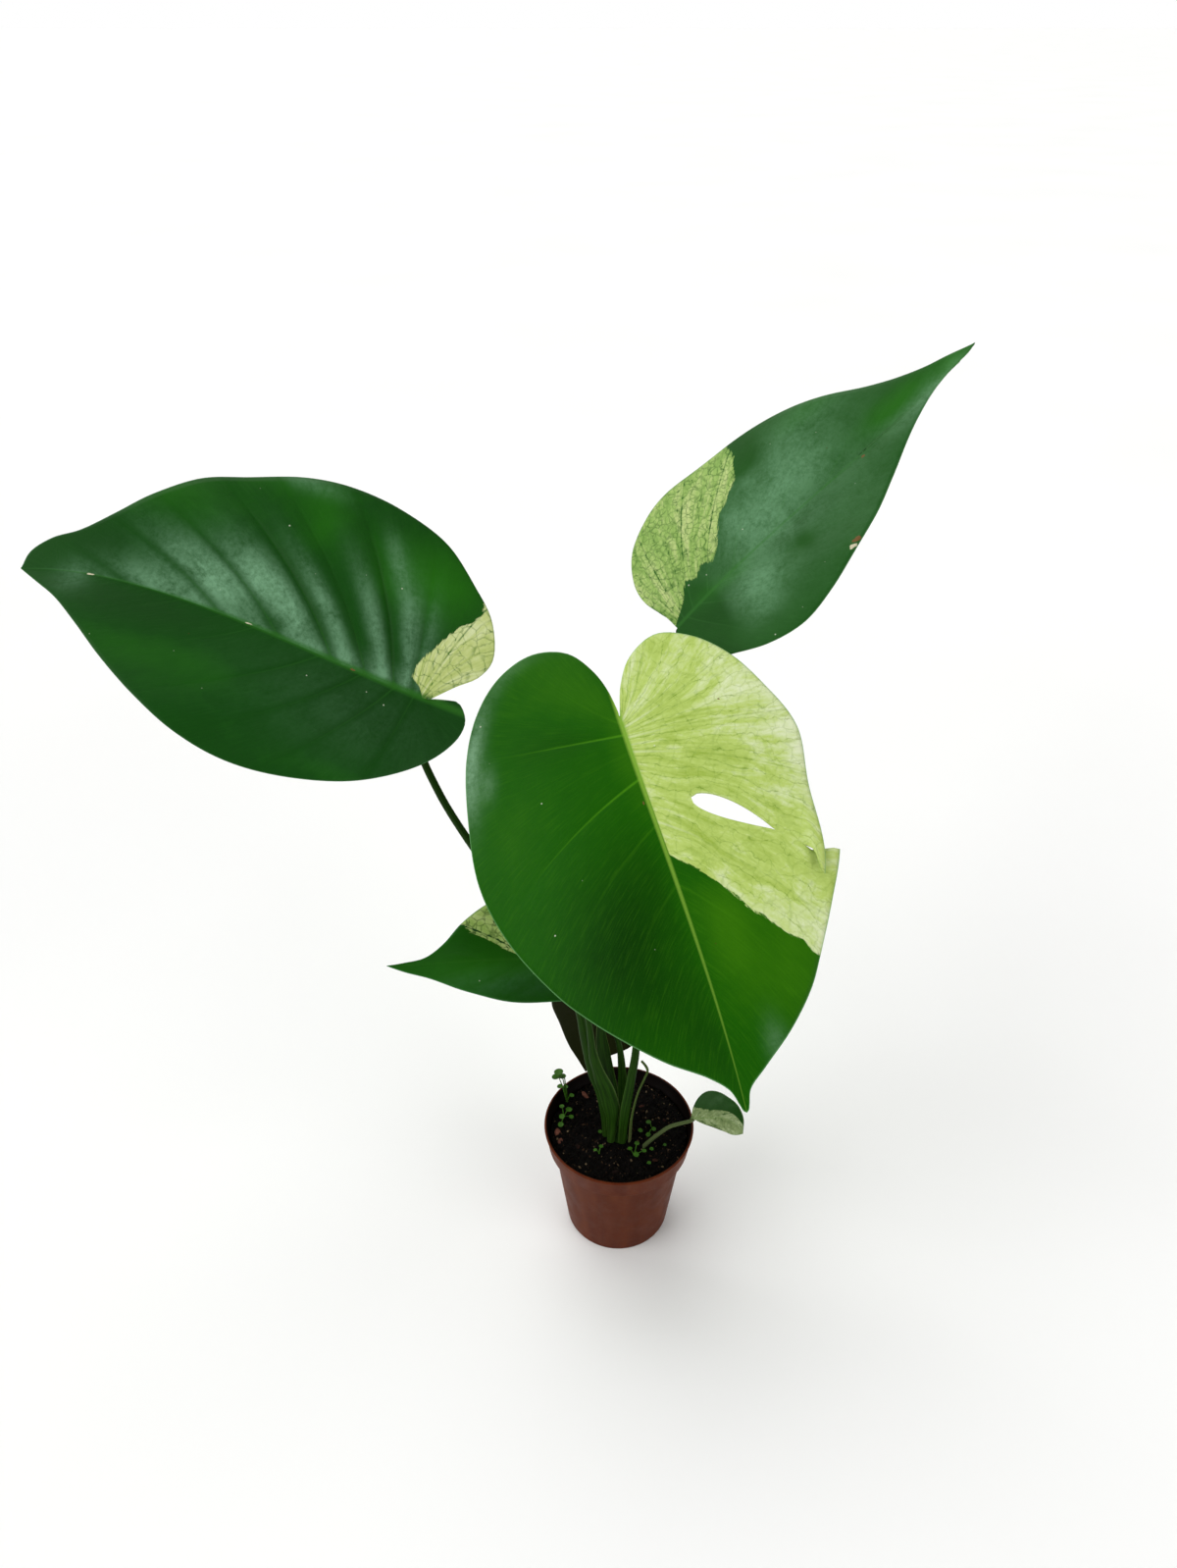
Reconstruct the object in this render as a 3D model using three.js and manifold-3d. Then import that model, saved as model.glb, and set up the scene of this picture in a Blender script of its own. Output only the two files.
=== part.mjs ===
// A young half-moon variegated climbing aroid in a small nursery pot.
// Millimetres, +Z up. The origin is the centre of the pot's flat underside. The plant is seen from -Y,
// with +X to the right. The blades hold the outlines, the split and the window of the real leaves;
// finer veins and colour are surface work and aren't part of this model.

import * as THREE from 'three';
import { mergeVertices } from 'three/addons/utils/BufferGeometryUtils.js';
import Module from 'manifold-3d';

const wasm = await Module();
wasm.setup();

// Driving dimensions of the pot: a round 7 cm nursery pot of thin moulded plastic.
const POT = {
  height: 62,
  rimRadius: 35,
  collarHeight: 11,
  collarFootRadius: 33.2,
  bodyTopRadius: 30.6,
  baseRadius: 24.4,
  wall: 0.9,
  floor: 1.4,
  footRound: 0.9,
  collarSlope: 1,
  innerStep: { below: 0.2, above: 0.8 },
  sides: 36,
  drainCount: 6,
  drainRadius: 2.6,
  drainCircle: 16,
  drainSides: 16,
};

// The bead round the pot's mouth: how far it stands out, where it starts below the top, and its rounding.
const BEAD = { out: 0.4, start: 1.4, belly: 0.9, round: 0.3, width: 1, inner: 1.3, innerDrop: 0.5 };

// The peat mix stands a little below the rim and clear of the wall.
const SOIL = {
  top: 55.8,
  gap: 0.35,
  lump: 0.8,
  crown: { x: 1, y: -5, height: 1.2, spread: 120 },
  edgeSpread: 0.5,
  footRise: 1.2,
  step: { below: 0.4, above: 1.2 },
  ringRadii: [26.5, 20, 13, 6],
};

// Gap between pieces that touch in the real plant, and the wider one left by a cut along a sheath.
const GAP = 0.3;
const SHEATH_GAP = 0.5;

// A thin blade never gets thinner than this.
const BLADE_THICKNESS = 0.7;

// Feet of the side veins on the midrib: crowded at the leaf's base, then spread towards the tip.
const FOOT_SPREAD = { linear: 0.1, power: 4.2 };

// The columns of a blade crowd together towards its drawn-out tip.
const TIP_CROWDING = 1.3;

// Where a side vein bends, as shares of its way along the leaf and away from the midrib.
const KNEE = { along: 0.33, away: 0.52 };

// Waves of the margin and quilts between the side veins over one half of a blade.
const WAVES = { count: 3, shift: 0.3 };
const QUILTS = 6;

// The midrib's fold is round over this width, the curl is measured at this distance from the midrib, and
// the tip droops from this share of the midrib on. The keel fades towards the tip with this power.
const FOLD_ROUND = 3;
const CURL_REACH = 50;
const DROOP_FROM = 0.75;
const KEEL_POWER = 1.5;

// Peaks of c * c * (1 - c) and of sqrt(x) * (1 - x) between 0 and 1, to bring them to 1.
const BEND_PEAK = 4 / 27;
const TEARDROP_PEAK = 2 / Math.sqrt(27);

const COLOURS = {
  pot: 0x6b3a24,
  soil: 0x17110c,
  stem: 0x3c5a22,
  petiole: 0x2c5218,
  palePetiole: 0x5c7035,
  dryStrap: 0x7d8a4a,
  frontLeaf: 0x2a6a10,
  darkLeaf: 0x174f1c,
  blueLeaf: 0x1f5a2c,
  backLeaf: 0x26330f,
  babyLeaf: 0x2a5a1c,
  sprout: 0x3a6a26,
};

// Outlines run from the sinus, where the petiole joins, round the basal lobe to the tip.
// Each point is [along the midrib, away from it]; minus and plus are the two halves of the blade.
// base and tip are the ends of the midrib, face is the way the upper side looks, arch lifts the middle
// of the midrib, bend shifts it sideways, droop lowers the tip, fold lifts the halves like an open book
// and curl rolls their margins back. fold and curl are given as [minus, plus].
const LEAVES = {
  front: {
    colour: COLOURS.frontLeaf,
    base: [-2, 26, 266],
    tip: [43, -84.5, 165.5],
    face: [-0.1, -0.69, 0.72],
    arch: 8, bend: 1.6, droop: 3,
    fold: [0.12, 0.1], curl: [10, 5],
    quilt: 0.5, wave: 1.2,
    ribDepth: 2.4,
    columns: 28,
    minus: [[0, 0], [-13, 1.2], [-24.5, 5], [-35, 12.5], [-39.5, 26], [-35, 41.5], [-23.5, 54.5], [-6, 64],
      [22, 70], [48, 72], [72, 66.5], [97, 53.6], [108, 45.2], [116.5, 37.6], [131, 22.5], [140.5, 9.5],
      [147, 2.8], [156, 0]],
    plus: [[0, 0], [-13.5, 4.3], [-24.7, 11.5], [-31, 24], [-25.5, 37], [-13, 48.5], [4, 57], [25, 63.8],
      [50, 60], [77, 59], [94, 52], [111, 42.7], [121, 36], [132.5, 24.7], [142.5, 12.6], [148, 5.5],
      [156, 0]],
    minusRows: [0, 0.12, 0.28, 0.46, 0.64, 0.8, 0.92, 1],
    plusRows: [0, 0.09, 0.18, 0.27, 0.36, 0.45, 0.54, 0.63, 0.71, 0.79, 0.86, 0.9, 0.94, 0.97, 1],
    // The window and the split lie on one line between two side veins of the plus half.
    opening: {
      column: 15,
      reach: 0.14,
      windowFrom: 0.27, windowTo: 0.71, windowHalfWidth: 3.7,
      splitFrom: 0.86, splitGap: 0.3, gapLength: 0.57, overlapFrom: 0.22, splitOverlap: 5.8,
      splitLift: 1.7,
    },
  },
  left: {
    colour: COLOURS.darkLeaf,
    base: [-79.5, 45.5, 263],
    tip: [-239, 61, 315],
    face: [0.25, -0.66, 0.7],
    arch: 7, bend: -6, droop: 3,
    fold: [0.22, 0.22], curl: [5, 4],
    quilt: 0.9, wave: 1.5,
    ribDepth: 2.2,
    columns: 24,
    minus: [[0, 0], [-8.5, 9], [-16.5, 16.5], [-19.7, 25], [-14.5, 40], [-3, 52], [14, 66], [35, 72.5],
      [56, 73.5], [76, 70.5], [96.5, 63.7], [114, 57], [129, 44], [140.5, 31], [151, 21], [161, 15],
      [167.5, 7.5], [168.5, 0]],
    plus: [[0, 0], [-5, -1.5], [-11.5, -3.5], [-16.5, 2], [-16.5, 10], [-10.5, 22], [1, 34], [18.5, 45],
      [42, 51.3], [66, 52.5], [86, 48.2], [104.5, 39.5], [123, 28], [138, 17], [150, 8.8], [160, 4],
      [168.5, 0]],
    minusRows: [0, 0.12, 0.28, 0.46, 0.64, 0.82, 1],
    plusRows: [0, 0.12, 0.28, 0.46, 0.64, 0.82, 1],
  },
  right: {
    colour: COLOURS.blueLeaf,
    base: [23.3, 77.4, 280],
    tip: [145.6, 132.7, 383],
    face: [-0.38, -0.5, 0.78],
    arch: 6, bend: -5, droop: 0,
    fold: [0.2, 0.2], curl: [8, 8],
    quilt: 0.6, wave: 1.2,
    ribDepth: 2,
    columns: 22,
    minus: [[0, 0], [-5, 6], [-7, 14.5], [-3, 23], [6, 30], [19, 39], [35, 43.7], [52, 42.3], [67, 38.8],
      [85.5, 32.6], [102, 24], [118.5, 15.3], [129.5, 10.3], [142.5, 5.3], [154.5, 2.6], [164, 1.6],
      [169.2, 0]],
    plus: [[0, 0], [-0.2, 9], [-2, 19.6], [0.4, 30.3], [9.7, 43], [24, 49.5], [37, 51.3], [54, 49],
      [75.5, 45], [96.7, 36], [112.5, 27.3], [126.5, 17.3], [138, 10.4], [148, 6], [158, 3.3], [169.2, 0]],
    minusRows: [0, 0.14, 0.32, 0.52, 0.72, 0.88, 1],
    plusRows: [0, 0.14, 0.32, 0.52, 0.72, 0.88, 1],
  },
  small: {
    colour: COLOURS.darkLeaf,
    base: [-17.5, 4, 160],
    tip: [-95.5, -22, 178.5],
    face: [0.3, -0.5, 0.8],
    arch: 5, bend: 0, droop: -3,
    fold: [0.25, 0.25], curl: [8, 8],
    quilt: 0.3, wave: 0.6,
    ribDepth: 1.6,
    columns: 18,
    minus: [[0, 0], [-6, 3], [-10, 10], [-6, 19], [4, 25.5], [18, 28.5], [32, 26.8], [43.5, 22], [53.5, 15],
      [61, 7.5], [68.5, 2.6], [77, 1], [84.3, 0]],
    plus: [[0, 0], [-6, 2.5], [-8.5, 8.5], [-4, 14.5], [6, 18], [20, 19], [38, 18], [53.5, 13],
      [67.5, 6.2], [77, 3], [84.3, 0]],
    minusRows: [0, 0.2, 0.45, 0.72, 1],
    plusRows: [0, 0.2, 0.45, 0.72, 1],
  },
  back: {
    colour: COLOURS.backLeaf,
    base: [-7.5, 26.5, 121],
    tip: [-15.7, 29.4, 64.2],
    face: [0.05, 1, 0.05],
    arch: 4, bend: 0, droop: 0,
    fold: [0.05, 0.05], curl: [6, 6],
    quilt: 0.3, wave: 0.4,
    ribDepth: 1.5,
    columns: 16,
    minus: [[0, 0], [-6, 3], [-9, 11], [-5, 19], [6, 24], [20, 24.5], [32, 22.5], [40, 18.5], [45, 13],
      [49, 7], [57.5, 0]],
    plus: [[0, 0], [-6, 3], [-9, 10], [-5, 18], [5, 22.5], [17, 22], [31, 16.5], [44, 10], [51, 5],
      [57.5, 0]],
    minusRows: [0, 0.25, 0.5, 0.75, 1],
    plusRows: [0, 0.25, 0.5, 0.75, 1],
  },
  baby: {
    colour: COLOURS.babyLeaf,
    base: [32, -14.5, 82],
    tip: [54, -25, 83.5],
    face: [0, -0.5, 0.86],
    arch: 1.5, bend: 3.6, droop: 0,
    fold: [-0.9, 0.15], curl: [0, 0],
    quilt: 0, wave: 0,
    ribDepth: 0.9,
    columns: 12,
    minus: [[0, 0], [2, 0.6], [6, 1.2], [11, 1.2], [16, 1.3], [20, 1.5], [23, 0.8], [24.4, 0]],
    plus: [[0, 0], [-0.5, 5], [1, 10], [4, 13], [9, 14], [14, 13], [18, 11.5], [21, 9], [23, 6], [24.4, 0]],
    minusRows: [0, 0.35, 0.7, 1],
    plusRows: [0, 0.25, 0.5, 0.75, 1],
  },
};

// Stalks. A section is [place along the route, width, depth, channel]: channel 0 is a plain oval, and
// towards 1 it is the thin open sheath that wraps the stem. inward is the side the channel faces.
// A petiole's route ends in a neck that turns up into the underside of the blade that it names.
const SHEATHED = [[0, 6.4, 4.2, 0.7], [0.1, 7, 4, 0.7], [0.17, 6.9, 3.8, 0.65], [0.22, 5.2, 3.6, 0.55],
  [0.32, 4.3, 3.5, 0.3], [0.45, 3.8, 3.5, 0.12], [0.92, 3.5, 3.3, 0.1], [1, 3.6, 3.4, 0]];
const NARROW_SHEATHED = [[0, 5.6, 4, 0.6], [0.1, 5.4, 3.7, 0.6], [0.18, 4.2, 3.2, 0.4], [0.28, 3.2, 3, 0.2],
  [0.92, 2.8, 2.7, 0.1], [1, 3.4, 3.2, 0]];
const HIDDEN_SHEATHED = [[0, 5.2, 3.8, 0.6], [0.1, 5, 3.6, 0.55], [0.2, 4.4, 3.5, 0.4],
  [0.32, 4, 3.5, 0.25], [0.45, 3.8, 3.5, 0.12], [0.92, 3.5, 3.3, 0.1], [1, 3.6, 3.4, 0]];
const BROAD_SHEATHED = [[0, 4.6, 3.6, 0.5], [0.1, 6.4, 3.6, 0.65], [0.2, 8.6, 3.8, 0.7],
  [0.3, 8.4, 3.6, 0.65], [0.42, 5.4, 3.2, 0.5], [0.55, 3.4, 2.8, 0.3], [0.7, 2.6, 2.4, 0.15],
  [1, 2.7, 2.5, 0]];
const SLIM_SHEATHED = [[0, 5.4, 3.8, 0.7], [0.25, 5.2, 3.4, 0.65], [0.45, 3.6, 2.9, 0.4],
  [0.65, 2.6, 2.4, 0.15], [1, 2.7, 2.5, 0]];

const STALKS = {
  stem: {
    colour: COLOURS.stem,
    route: [[1.2, -5.6, 24], [0.8, -5.2, 48], [0.5, -4.9, 58], [0.2, -4.4, 67]],
    inward: [0, 1, 0],
    sections: [[0, 6.6, 6.6, 0], [0.6, 7, 6.8, 0], [0.74, 6.4, 6.2, 0], [0.78, 7.2, 7, 0],
      [0.82, 6.2, 6, 0], [1, 3.2, 3.2, 0]],
    steps: 12,
  },
  petiole_front: {
    colour: COLOURS.petiole,
    route: [[1.3, -8.2, 58.4], [2.4, -7.7, 77], [5, -4.5, 97], [6.8, -0.5, 109], [8, 12, 140],
      [8, 28, 180], [5, 41, 222], [0.5, 41, 248]],
    inward: [-0.2, 1, 0.2],
    sections: NARROW_SHEATHED,
    steps: 28,
    into: 'front',
    neck: 9,
  },
  petiole_left: {
    colour: COLOURS.petiole,
    route: [[-6, -4.6, 58.6], [-6.8, -2.2, 71], [-9, 0.8, 82], [-12.4, 3.2, 91], [-16.2, 6.4, 112],
      [-18.8, 8.8, 127], [-31, 13.4, 154], [-47.8, 20, 181], [-63.8, 29.4, 201.5],
      [-78.2, 42, 221], [-86, 52, 238]],
    inward: [0.3, 1, 0.2],
    sections: HIDDEN_SHEATHED,
    steps: 30,
    into: 'left',
    neck: 9,
  },
  petiole_right: {
    colour: COLOURS.petiole,
    route: [[-2.6, -1.4, 59], [-2.9, 1.7, 78], [-7, 8, 98], [-8.4, 11.5, 111], [-1.5, 25, 139],
      [12, 52, 186], [23, 77, 236], [28, 86, 261]],
    inward: [0.6, -0.8, 0.2],
    sections: SHEATHED,
    steps: 30,
    into: 'right',
    neck: 9,
  },
  petiole_small: {
    colour: COLOURS.petiole,
    route: [[-4, -8.2, 58.6], [-3.4, -6, 67], [-3.5, -5, 75], [-5.2, -3.4, 84], [-8.8, -2, 95],
      [-12, -0.9, 106.5], [-14, 0, 125], [-16.8, 3.4, 143]],
    inward: [0.25, 0.95, 0.2],
    sections: BROAD_SHEATHED,
    steps: 20,
    into: 'small',
    neck: 7,
  },
  petiole_back: {
    colour: COLOURS.petiole,
    route: [[2.4, -0.2, 59], [1.5, 5.2, 84], [-0.6, 10, 104]],
    inward: [0, -1, 0.2],
    sections: SLIM_SHEATHED,
    steps: 14,
    into: 'back',
    neck: 7,
  },
  petiole_baby: {
    colour: COLOURS.palePetiole,
    route: [[9.4, -7.6, 45], [10.9, -9.1, 54.7], [13.9, -10.1, 60.8], [18.2, -11, 67.2],
      [22.9, -11.6, 72.6]],
    inward: [-0.3, 0.2, 1],
    sections: [[0, 2.6, 2.4, 0], [0.5, 2.2, 2, 0.1], [1, 1.8, 1.6, 0.1]],
    steps: 12,
    into: 'baby',
    neck: 4,
  },
  dry_sheath: {
    colour: COLOURS.dryStrap,
    route: [[4.7, -8.4, 59.5], [5.2, -8.2, 74], [6.3, -7.6, 82], [8, -6.8, 90], [10.9, -5.6, 98],
      [12.1, -5.3, 102], [11.2, -5.2, 105], [9.4, -4.9, 107.6]],
    inward: [-0.9, 0.3, 0.2],
    sections: [[0, 3.2, 1.6, 0.3], [0.6, 2.6, 1.4, 0.3], [0.82, 2, 1.2, 0.2], [1, 1.2, 1, 0]],
    steps: 14,
  },
};

const STALK_SIDES = 8;

// Weed seedlings: [root x, root y, stalk height, lean x, lean y, leaflet radius, leaflets].
const SEEDLINGS = {
  sprout_rim: [-24.7, 17.2, 19.4, -2.4, 1, 2.4, 3],
  sprout_left: [-26, 8.4, 3.4, 1, -1, 1.9, 2],
  sprout_middle: [-9.4, -13.4, 3, 0.6, 1, 1.7, 2],
  sprout_right: [15.6, 1.4, 3.4, -0.8, 0.6, 1.8, 3],
  sprout_near: [6.8, -14.6, 2.8, 0.4, -0.8, 1.8, 3],
};
const SEEDLING = { stalkRadius: 0.55, rootDepth: 4, bendPlace: 0.6, bendLean: 0.4 };
const LEAFLET = { width: 0.8, thickness: 0.45, out: 0.85, tilt: -0.35, below: 0.2 };

// Bark and clay crumbs bedded in the top of the soil: [x, y, length, turn in degrees].
const CRUMBS = [[-28.2, 2.4, 4.6, 80], [-27.4, -3.6, 3.4, 60], [-16, 21.6, 5.2, 120], [11.6, 14.7, 3.2, 20],
  [16.4, -17.3, 3, 0], [-19.4, -9, 3.2, 120], [-2, -24, 3.6, 15], [22, 6, 2.8, 130]];
const CRUMB_SEED = 7;

// A crumb's width and depth as shares of its length, each with its spread, its tilt in radians and how
// much of its depth its centre stands above the soil.
const CRUMB = { width: 0.45, widthSpread: 0.25, depth: 0.3, depthSpread: 0.2, tilt: 0.8, raised: 0.15 };

const vec = (p) => new THREE.Vector3(...p);

// Mulberry32: the same draw on each run.
function seededRandom(seed) {
  let state = seed;
  return () => {
    state = (state + 0x6d2b79f5) | 0;
    let t = Math.imul(state ^ (state >>> 15), 1 | state);
    t = (t + Math.imul(t ^ (t >>> 7), 61 | t)) ^ t;
    return ((t ^ (t >>> 14)) >>> 0) / 4294967296;
  };
}

function smoothStep(x) {
  const c = Math.min(1, Math.max(0, x));
  return c * c * (3 - 2 * c);
}

function makeGeometry(points, triangles) {
  const geometry = new THREE.BufferGeometry();
  geometry.setAttribute('position', new THREE.Float32BufferAttribute(points.flat(), 3));
  geometry.setIndex(triangles.flat());
  return geometry;
}

// Six times the volume that the triangles enclose, positive when they face out.
function signedVolume(positions, index) {
  const a = new THREE.Vector3();
  const b = new THREE.Vector3();
  const c = new THREE.Vector3();
  let sum = 0;
  for (let i = 0; i < index.length; i += 3) {
    a.fromArray(positions, 3 * index[i]);
    b.fromArray(positions, 3 * index[i + 1]);
    c.fromArray(positions, 3 * index[i + 2]);
    sum += a.dot(b.cross(c));
  }
  return sum;
}

// A three.js geometry as a solid that can be cut and joined, turned right side out if need be.
function solidOf(geometry) {
  const bare = geometry.clone();
  bare.deleteAttribute('normal');
  bare.deleteAttribute('uv');
  const merged = mergeVertices(bare, 1e-4);
  const positions = Float32Array.from(merged.attributes.position.array);
  const kept = [];
  const all = merged.index.array;
  for (let i = 0; i < all.length; i += 3) {
    const [p, q, r] = [all[i], all[i + 1], all[i + 2]];
    if (p !== q && q !== r && r !== p) kept.push(p, q, r);
  }
  if (signedVolume(positions, kept) < 0) {
    for (let i = 0; i < kept.length; i += 3) [kept[i], kept[i + 1]] = [kept[i + 1], kept[i]];
  }
  return new wasm.Manifold(new wasm.Mesh({
    numProp: 3, vertProperties: positions, triVerts: Uint32Array.from(kept),
  }));
}

function geometryOf(solid) {
  const mesh = solid.getMesh();
  const geometry = new THREE.BufferGeometry();
  geometry.setAttribute('position', new THREE.BufferAttribute(Float32Array.from(mesh.vertProperties), 3));
  geometry.setIndex(new THREE.BufferAttribute(Uint32Array.from(mesh.triVerts), 1));
  geometry.computeVertexNormals();
  return geometry;
}

// After a cut, only the main body is kept.
function mainBody(solid) {
  return solid.decompose().reduce((best, piece) => (piece.volume() > best.volume() ? piece : best));
}

function addPiece(group, name, solid, colour, roughness) {
  const material = new THREE.MeshStandardMaterial({ color: colour, roughness, metalness: 0 });
  const mesh = new THREE.Mesh(geometryOf(solid), material);
  mesh.name = name;
  group.add(mesh);
}

// A profile of [radius, height] points turned about Z.
function turned(profile) {
  const points = profile.map(([r, z]) => new THREE.Vector2(r, z));
  return new THREE.LatheGeometry(points, POT.sides).rotateX(Math.PI / 2);
}

function makePot() {
  const collarFoot = POT.height - POT.collarHeight;
  const bodyInner = POT.bodyTopRadius - POT.wall;
  const collarInner = POT.collarFootRadius - POT.wall;
  const innerBase = POT.baseRadius - POT.wall;
  let pot = solidOf(turned([
    [0, 0],
    [POT.baseRadius - POT.footRound, 0],
    [POT.baseRadius, POT.footRound],
    [POT.bodyTopRadius, collarFoot - POT.collarSlope],
    [POT.collarFootRadius, collarFoot],
    [POT.rimRadius - BEAD.out, POT.height - BEAD.start],
    [POT.rimRadius, POT.height - BEAD.belly],
    [POT.rimRadius, POT.height - BEAD.round],
    [POT.rimRadius - BEAD.round, POT.height],
    [POT.rimRadius - BEAD.width, POT.height],
    [POT.rimRadius - BEAD.inner, POT.height - BEAD.innerDrop],
    [collarInner, collarFoot + POT.innerStep.above],
    [bodyInner, collarFoot - POT.innerStep.below],
    [innerBase, POT.floor + POT.footRound],
    [innerBase - POT.footRound, POT.floor],
    [0, POT.floor],
  ]));
  for (let k = 0; k < POT.drainCount; k += 1) {
    const angle = (2 * Math.PI * k) / POT.drainCount;
    const hole = new THREE.CylinderGeometry(POT.drainRadius, POT.drainRadius, 4 * POT.floor,
      POT.drainSides);
    hole.rotateX(Math.PI / 2);
    hole.translate(POT.drainCircle * Math.cos(angle), POT.drainCircle * Math.sin(angle), 0);
    pot = pot.subtract(solidOf(hole));
  }
  return pot;
}

// Height of the soil's lumpy top.
function soilHeight(x, y) {
  const lumps = Math.sin(0.53 * x + 1.3) * Math.cos(0.47 * y - 0.6)
    + 0.6 * Math.sin(1.13 * x - 0.91 * y) + 0.4 * Math.cos(1.7 * x + 1.9 * y);
  const { crown } = SOIL;
  const raised = crown.height * Math.exp(-((x - crown.x) ** 2 + (y - crown.y) ** 2) / crown.spread);
  return SOIL.top + raised + 0.5 * SOIL.lump * lumps;
}

function makeCrumb([x, y, length, turn], random) {
  const crumb = new THREE.IcosahedronGeometry(0.5, 0);
  const width = length * (CRUMB.width + CRUMB.widthSpread * random());
  const depth = length * (CRUMB.depth + CRUMB.depthSpread * random());
  crumb.scale(length, width, depth);
  crumb.rotateX((random() - 0.5) * CRUMB.tilt);
  crumb.rotateZ(THREE.MathUtils.degToRad(turn));
  crumb.translate(x, y, soilHeight(x, y) + CRUMB.raised * depth);
  return solidOf(crumb);
}

function makeSoil(stalksInSoil) {
  const collarFoot = POT.height - POT.collarHeight;
  const clear = POT.wall + SOIL.gap;
  const plug = turned([
    [0, POT.floor + GAP],
    [POT.baseRadius - clear - POT.footRound, POT.floor + GAP],
    [POT.baseRadius - clear, POT.floor + GAP + SOIL.footRise],
    [POT.bodyTopRadius - clear, collarFoot - SOIL.step.below],
    [POT.collarFootRadius - clear, collarFoot + SOIL.step.above],
    [POT.collarFootRadius - clear + SOIL.edgeSpread, SOIL.top],
    ...SOIL.ringRadii.map((r) => [r, SOIL.top]),
    [0, SOIL.top],
  ]);
  const position = plug.attributes.position;
  for (let i = 0; i < position.count; i += 1) {
    if (position.getZ(i) > SOIL.top - 0.01) {
      position.setZ(i, soilHeight(position.getX(i), position.getY(i)));
    }
  }
  let soil = solidOf(plug);
  const random = seededRandom(CRUMB_SEED);
  for (const crumb of CRUMBS) soil = soil.add(makeCrumb(crumb, random));
  for (const stalk of stalksInSoil) soil = soil.subtract(stalk);
  return mainBody(soil);
}

// The midrib runs from base to tip; along, across and face are the blade's own axes.
function bladeFrame(leaf) {
  const base = vec(leaf.base);
  const along = vec(leaf.tip).sub(base);
  const length = along.length();
  along.divideScalar(length);
  const face = vec(leaf.face);
  face.addScaledVector(along, -face.dot(along)).normalize();
  const across = new THREE.Vector3().crossVectors(face, along);
  return { base, along, across, face, length };
}

function midribOffset(leaf, place) {
  const c = Math.min(1, Math.max(0, place));
  return leaf.bend * c * c * (1 - c) / BEND_PEAK;
}

// Height of the blade's middle surface over the plane of its midrib.
function bladeHeight(leaf, length, u, v) {
  const place = u / length;
  const away = v - midribOffset(leaf, place);
  const half = away < 0 ? 0 : 1;
  const lifted = Math.hypot(away, FOLD_ROUND) - FOLD_ROUND;
  return leaf.arch * 4 * place * (1 - place)
    - leaf.droop * Math.max(0, (place - DROOP_FROM) / (1 - DROOP_FROM)) ** 2
    + leaf.fold[half] * lifted
    - leaf.curl[half] * (v / CURL_REACH) ** 2;
}

// How far the sides of the window and the split stand apart at t, and how far they are lifted.
function openingAt(opening, t) {
  if (t > opening.windowFrom && t < opening.windowTo) {
    const x = (t - opening.windowFrom) / (opening.windowTo - opening.windowFrom);
    const teardrop = (Math.sqrt(x) * (1 - x)) / TEARDROP_PEAK;
    return { apart: opening.windowHalfWidth * teardrop, lift: 0, open: true };
  }
  if (t > opening.splitFrom) {
    const x = (t - opening.splitFrom) / (1 - opening.splitFrom);
    const gap = opening.splitGap * Math.sin(Math.PI * Math.min(1, x / opening.gapLength));
    const overlap = opening.splitOverlap
      * smoothStep((x - opening.overlapFrom) / (1 - opening.overlapFrom));
    return { apart: gap - overlap, lift: opening.splitLift * smoothStep(x * 2), open: true };
  }
  return { apart: 0, lift: 0, open: false };
}

function columnPlace(leaf, column) {
  return 1 - (1 - column / leaf.columns) ** TIP_CROWDING;
}

// Points of one half, in columns like side veins from the midrib to the outline.
function halfGrid(leaf, length, side) {
  const points = side > 0 ? leaf.plus : leaf.minus;
  const rows = side > 0 ? leaf.plusRows : leaf.minusRows;
  const opening = side > 0 ? leaf.opening : undefined;
  const outline = new THREE.CatmullRomCurve3(points.map(([u, v]) => new THREE.Vector3(u, side * v, 0)));
  const flat = (s, t) => {
    const place = FOOT_SPREAD.linear * s + (1 - FOOT_SPREAD.linear) * s ** FOOT_SPREAD.power;
    const foot = new THREE.Vector3(place * length, midribOffset(leaf, place), 0);
    const edge = outline.getPointAt(s);
    const knee = new THREE.Vector3(foot.x + KNEE.along * (edge.x - foot.x),
      foot.y + KNEE.away * (edge.y - foot.y), 0);
    return new THREE.QuadraticBezierCurve3(foot, knee, edge);
  };
  return { rows, opening, at(column, t, copy) {
    const s = columnPlace(leaf, column);
    const curve = flat(s, t);
    const p = curve.getPoint(t);
    const wave = leaf.wave * Math.sin(2 * Math.PI * (WAVES.count * s + WAVES.shift * side)) * t ** 3;
    const quilt = leaf.quilt * (Math.sin(Math.PI * QUILTS * s) ** 2 - 0.5) * 4 * t * (1 - t);
    let lift = wave * Math.sin(Math.PI * s) + quilt * Math.sin(Math.PI * s);
    if (opening) {
      const centre = columnPlace(leaf, opening.column);
      const far = Math.abs(s - centre) / opening.reach;
      if (far < 1) {
        const { apart, lift: raise } = openingAt(opening, t);
        const fade = (1 - far) ** 2;
        const way = s < centre || copy === 'before' ? -1 : 1;
        const tangent = curve.getTangent(t);
        p.x += way * fade * apart * tangent.y;
        p.y -= way * fade * apart * tangent.x;
        lift -= way * fade * raise;
      }
    }
    return { u: p.x, v: p.y, w: bladeHeight(leaf, length, p.x, p.y) + lift };
  } };
}

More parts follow.
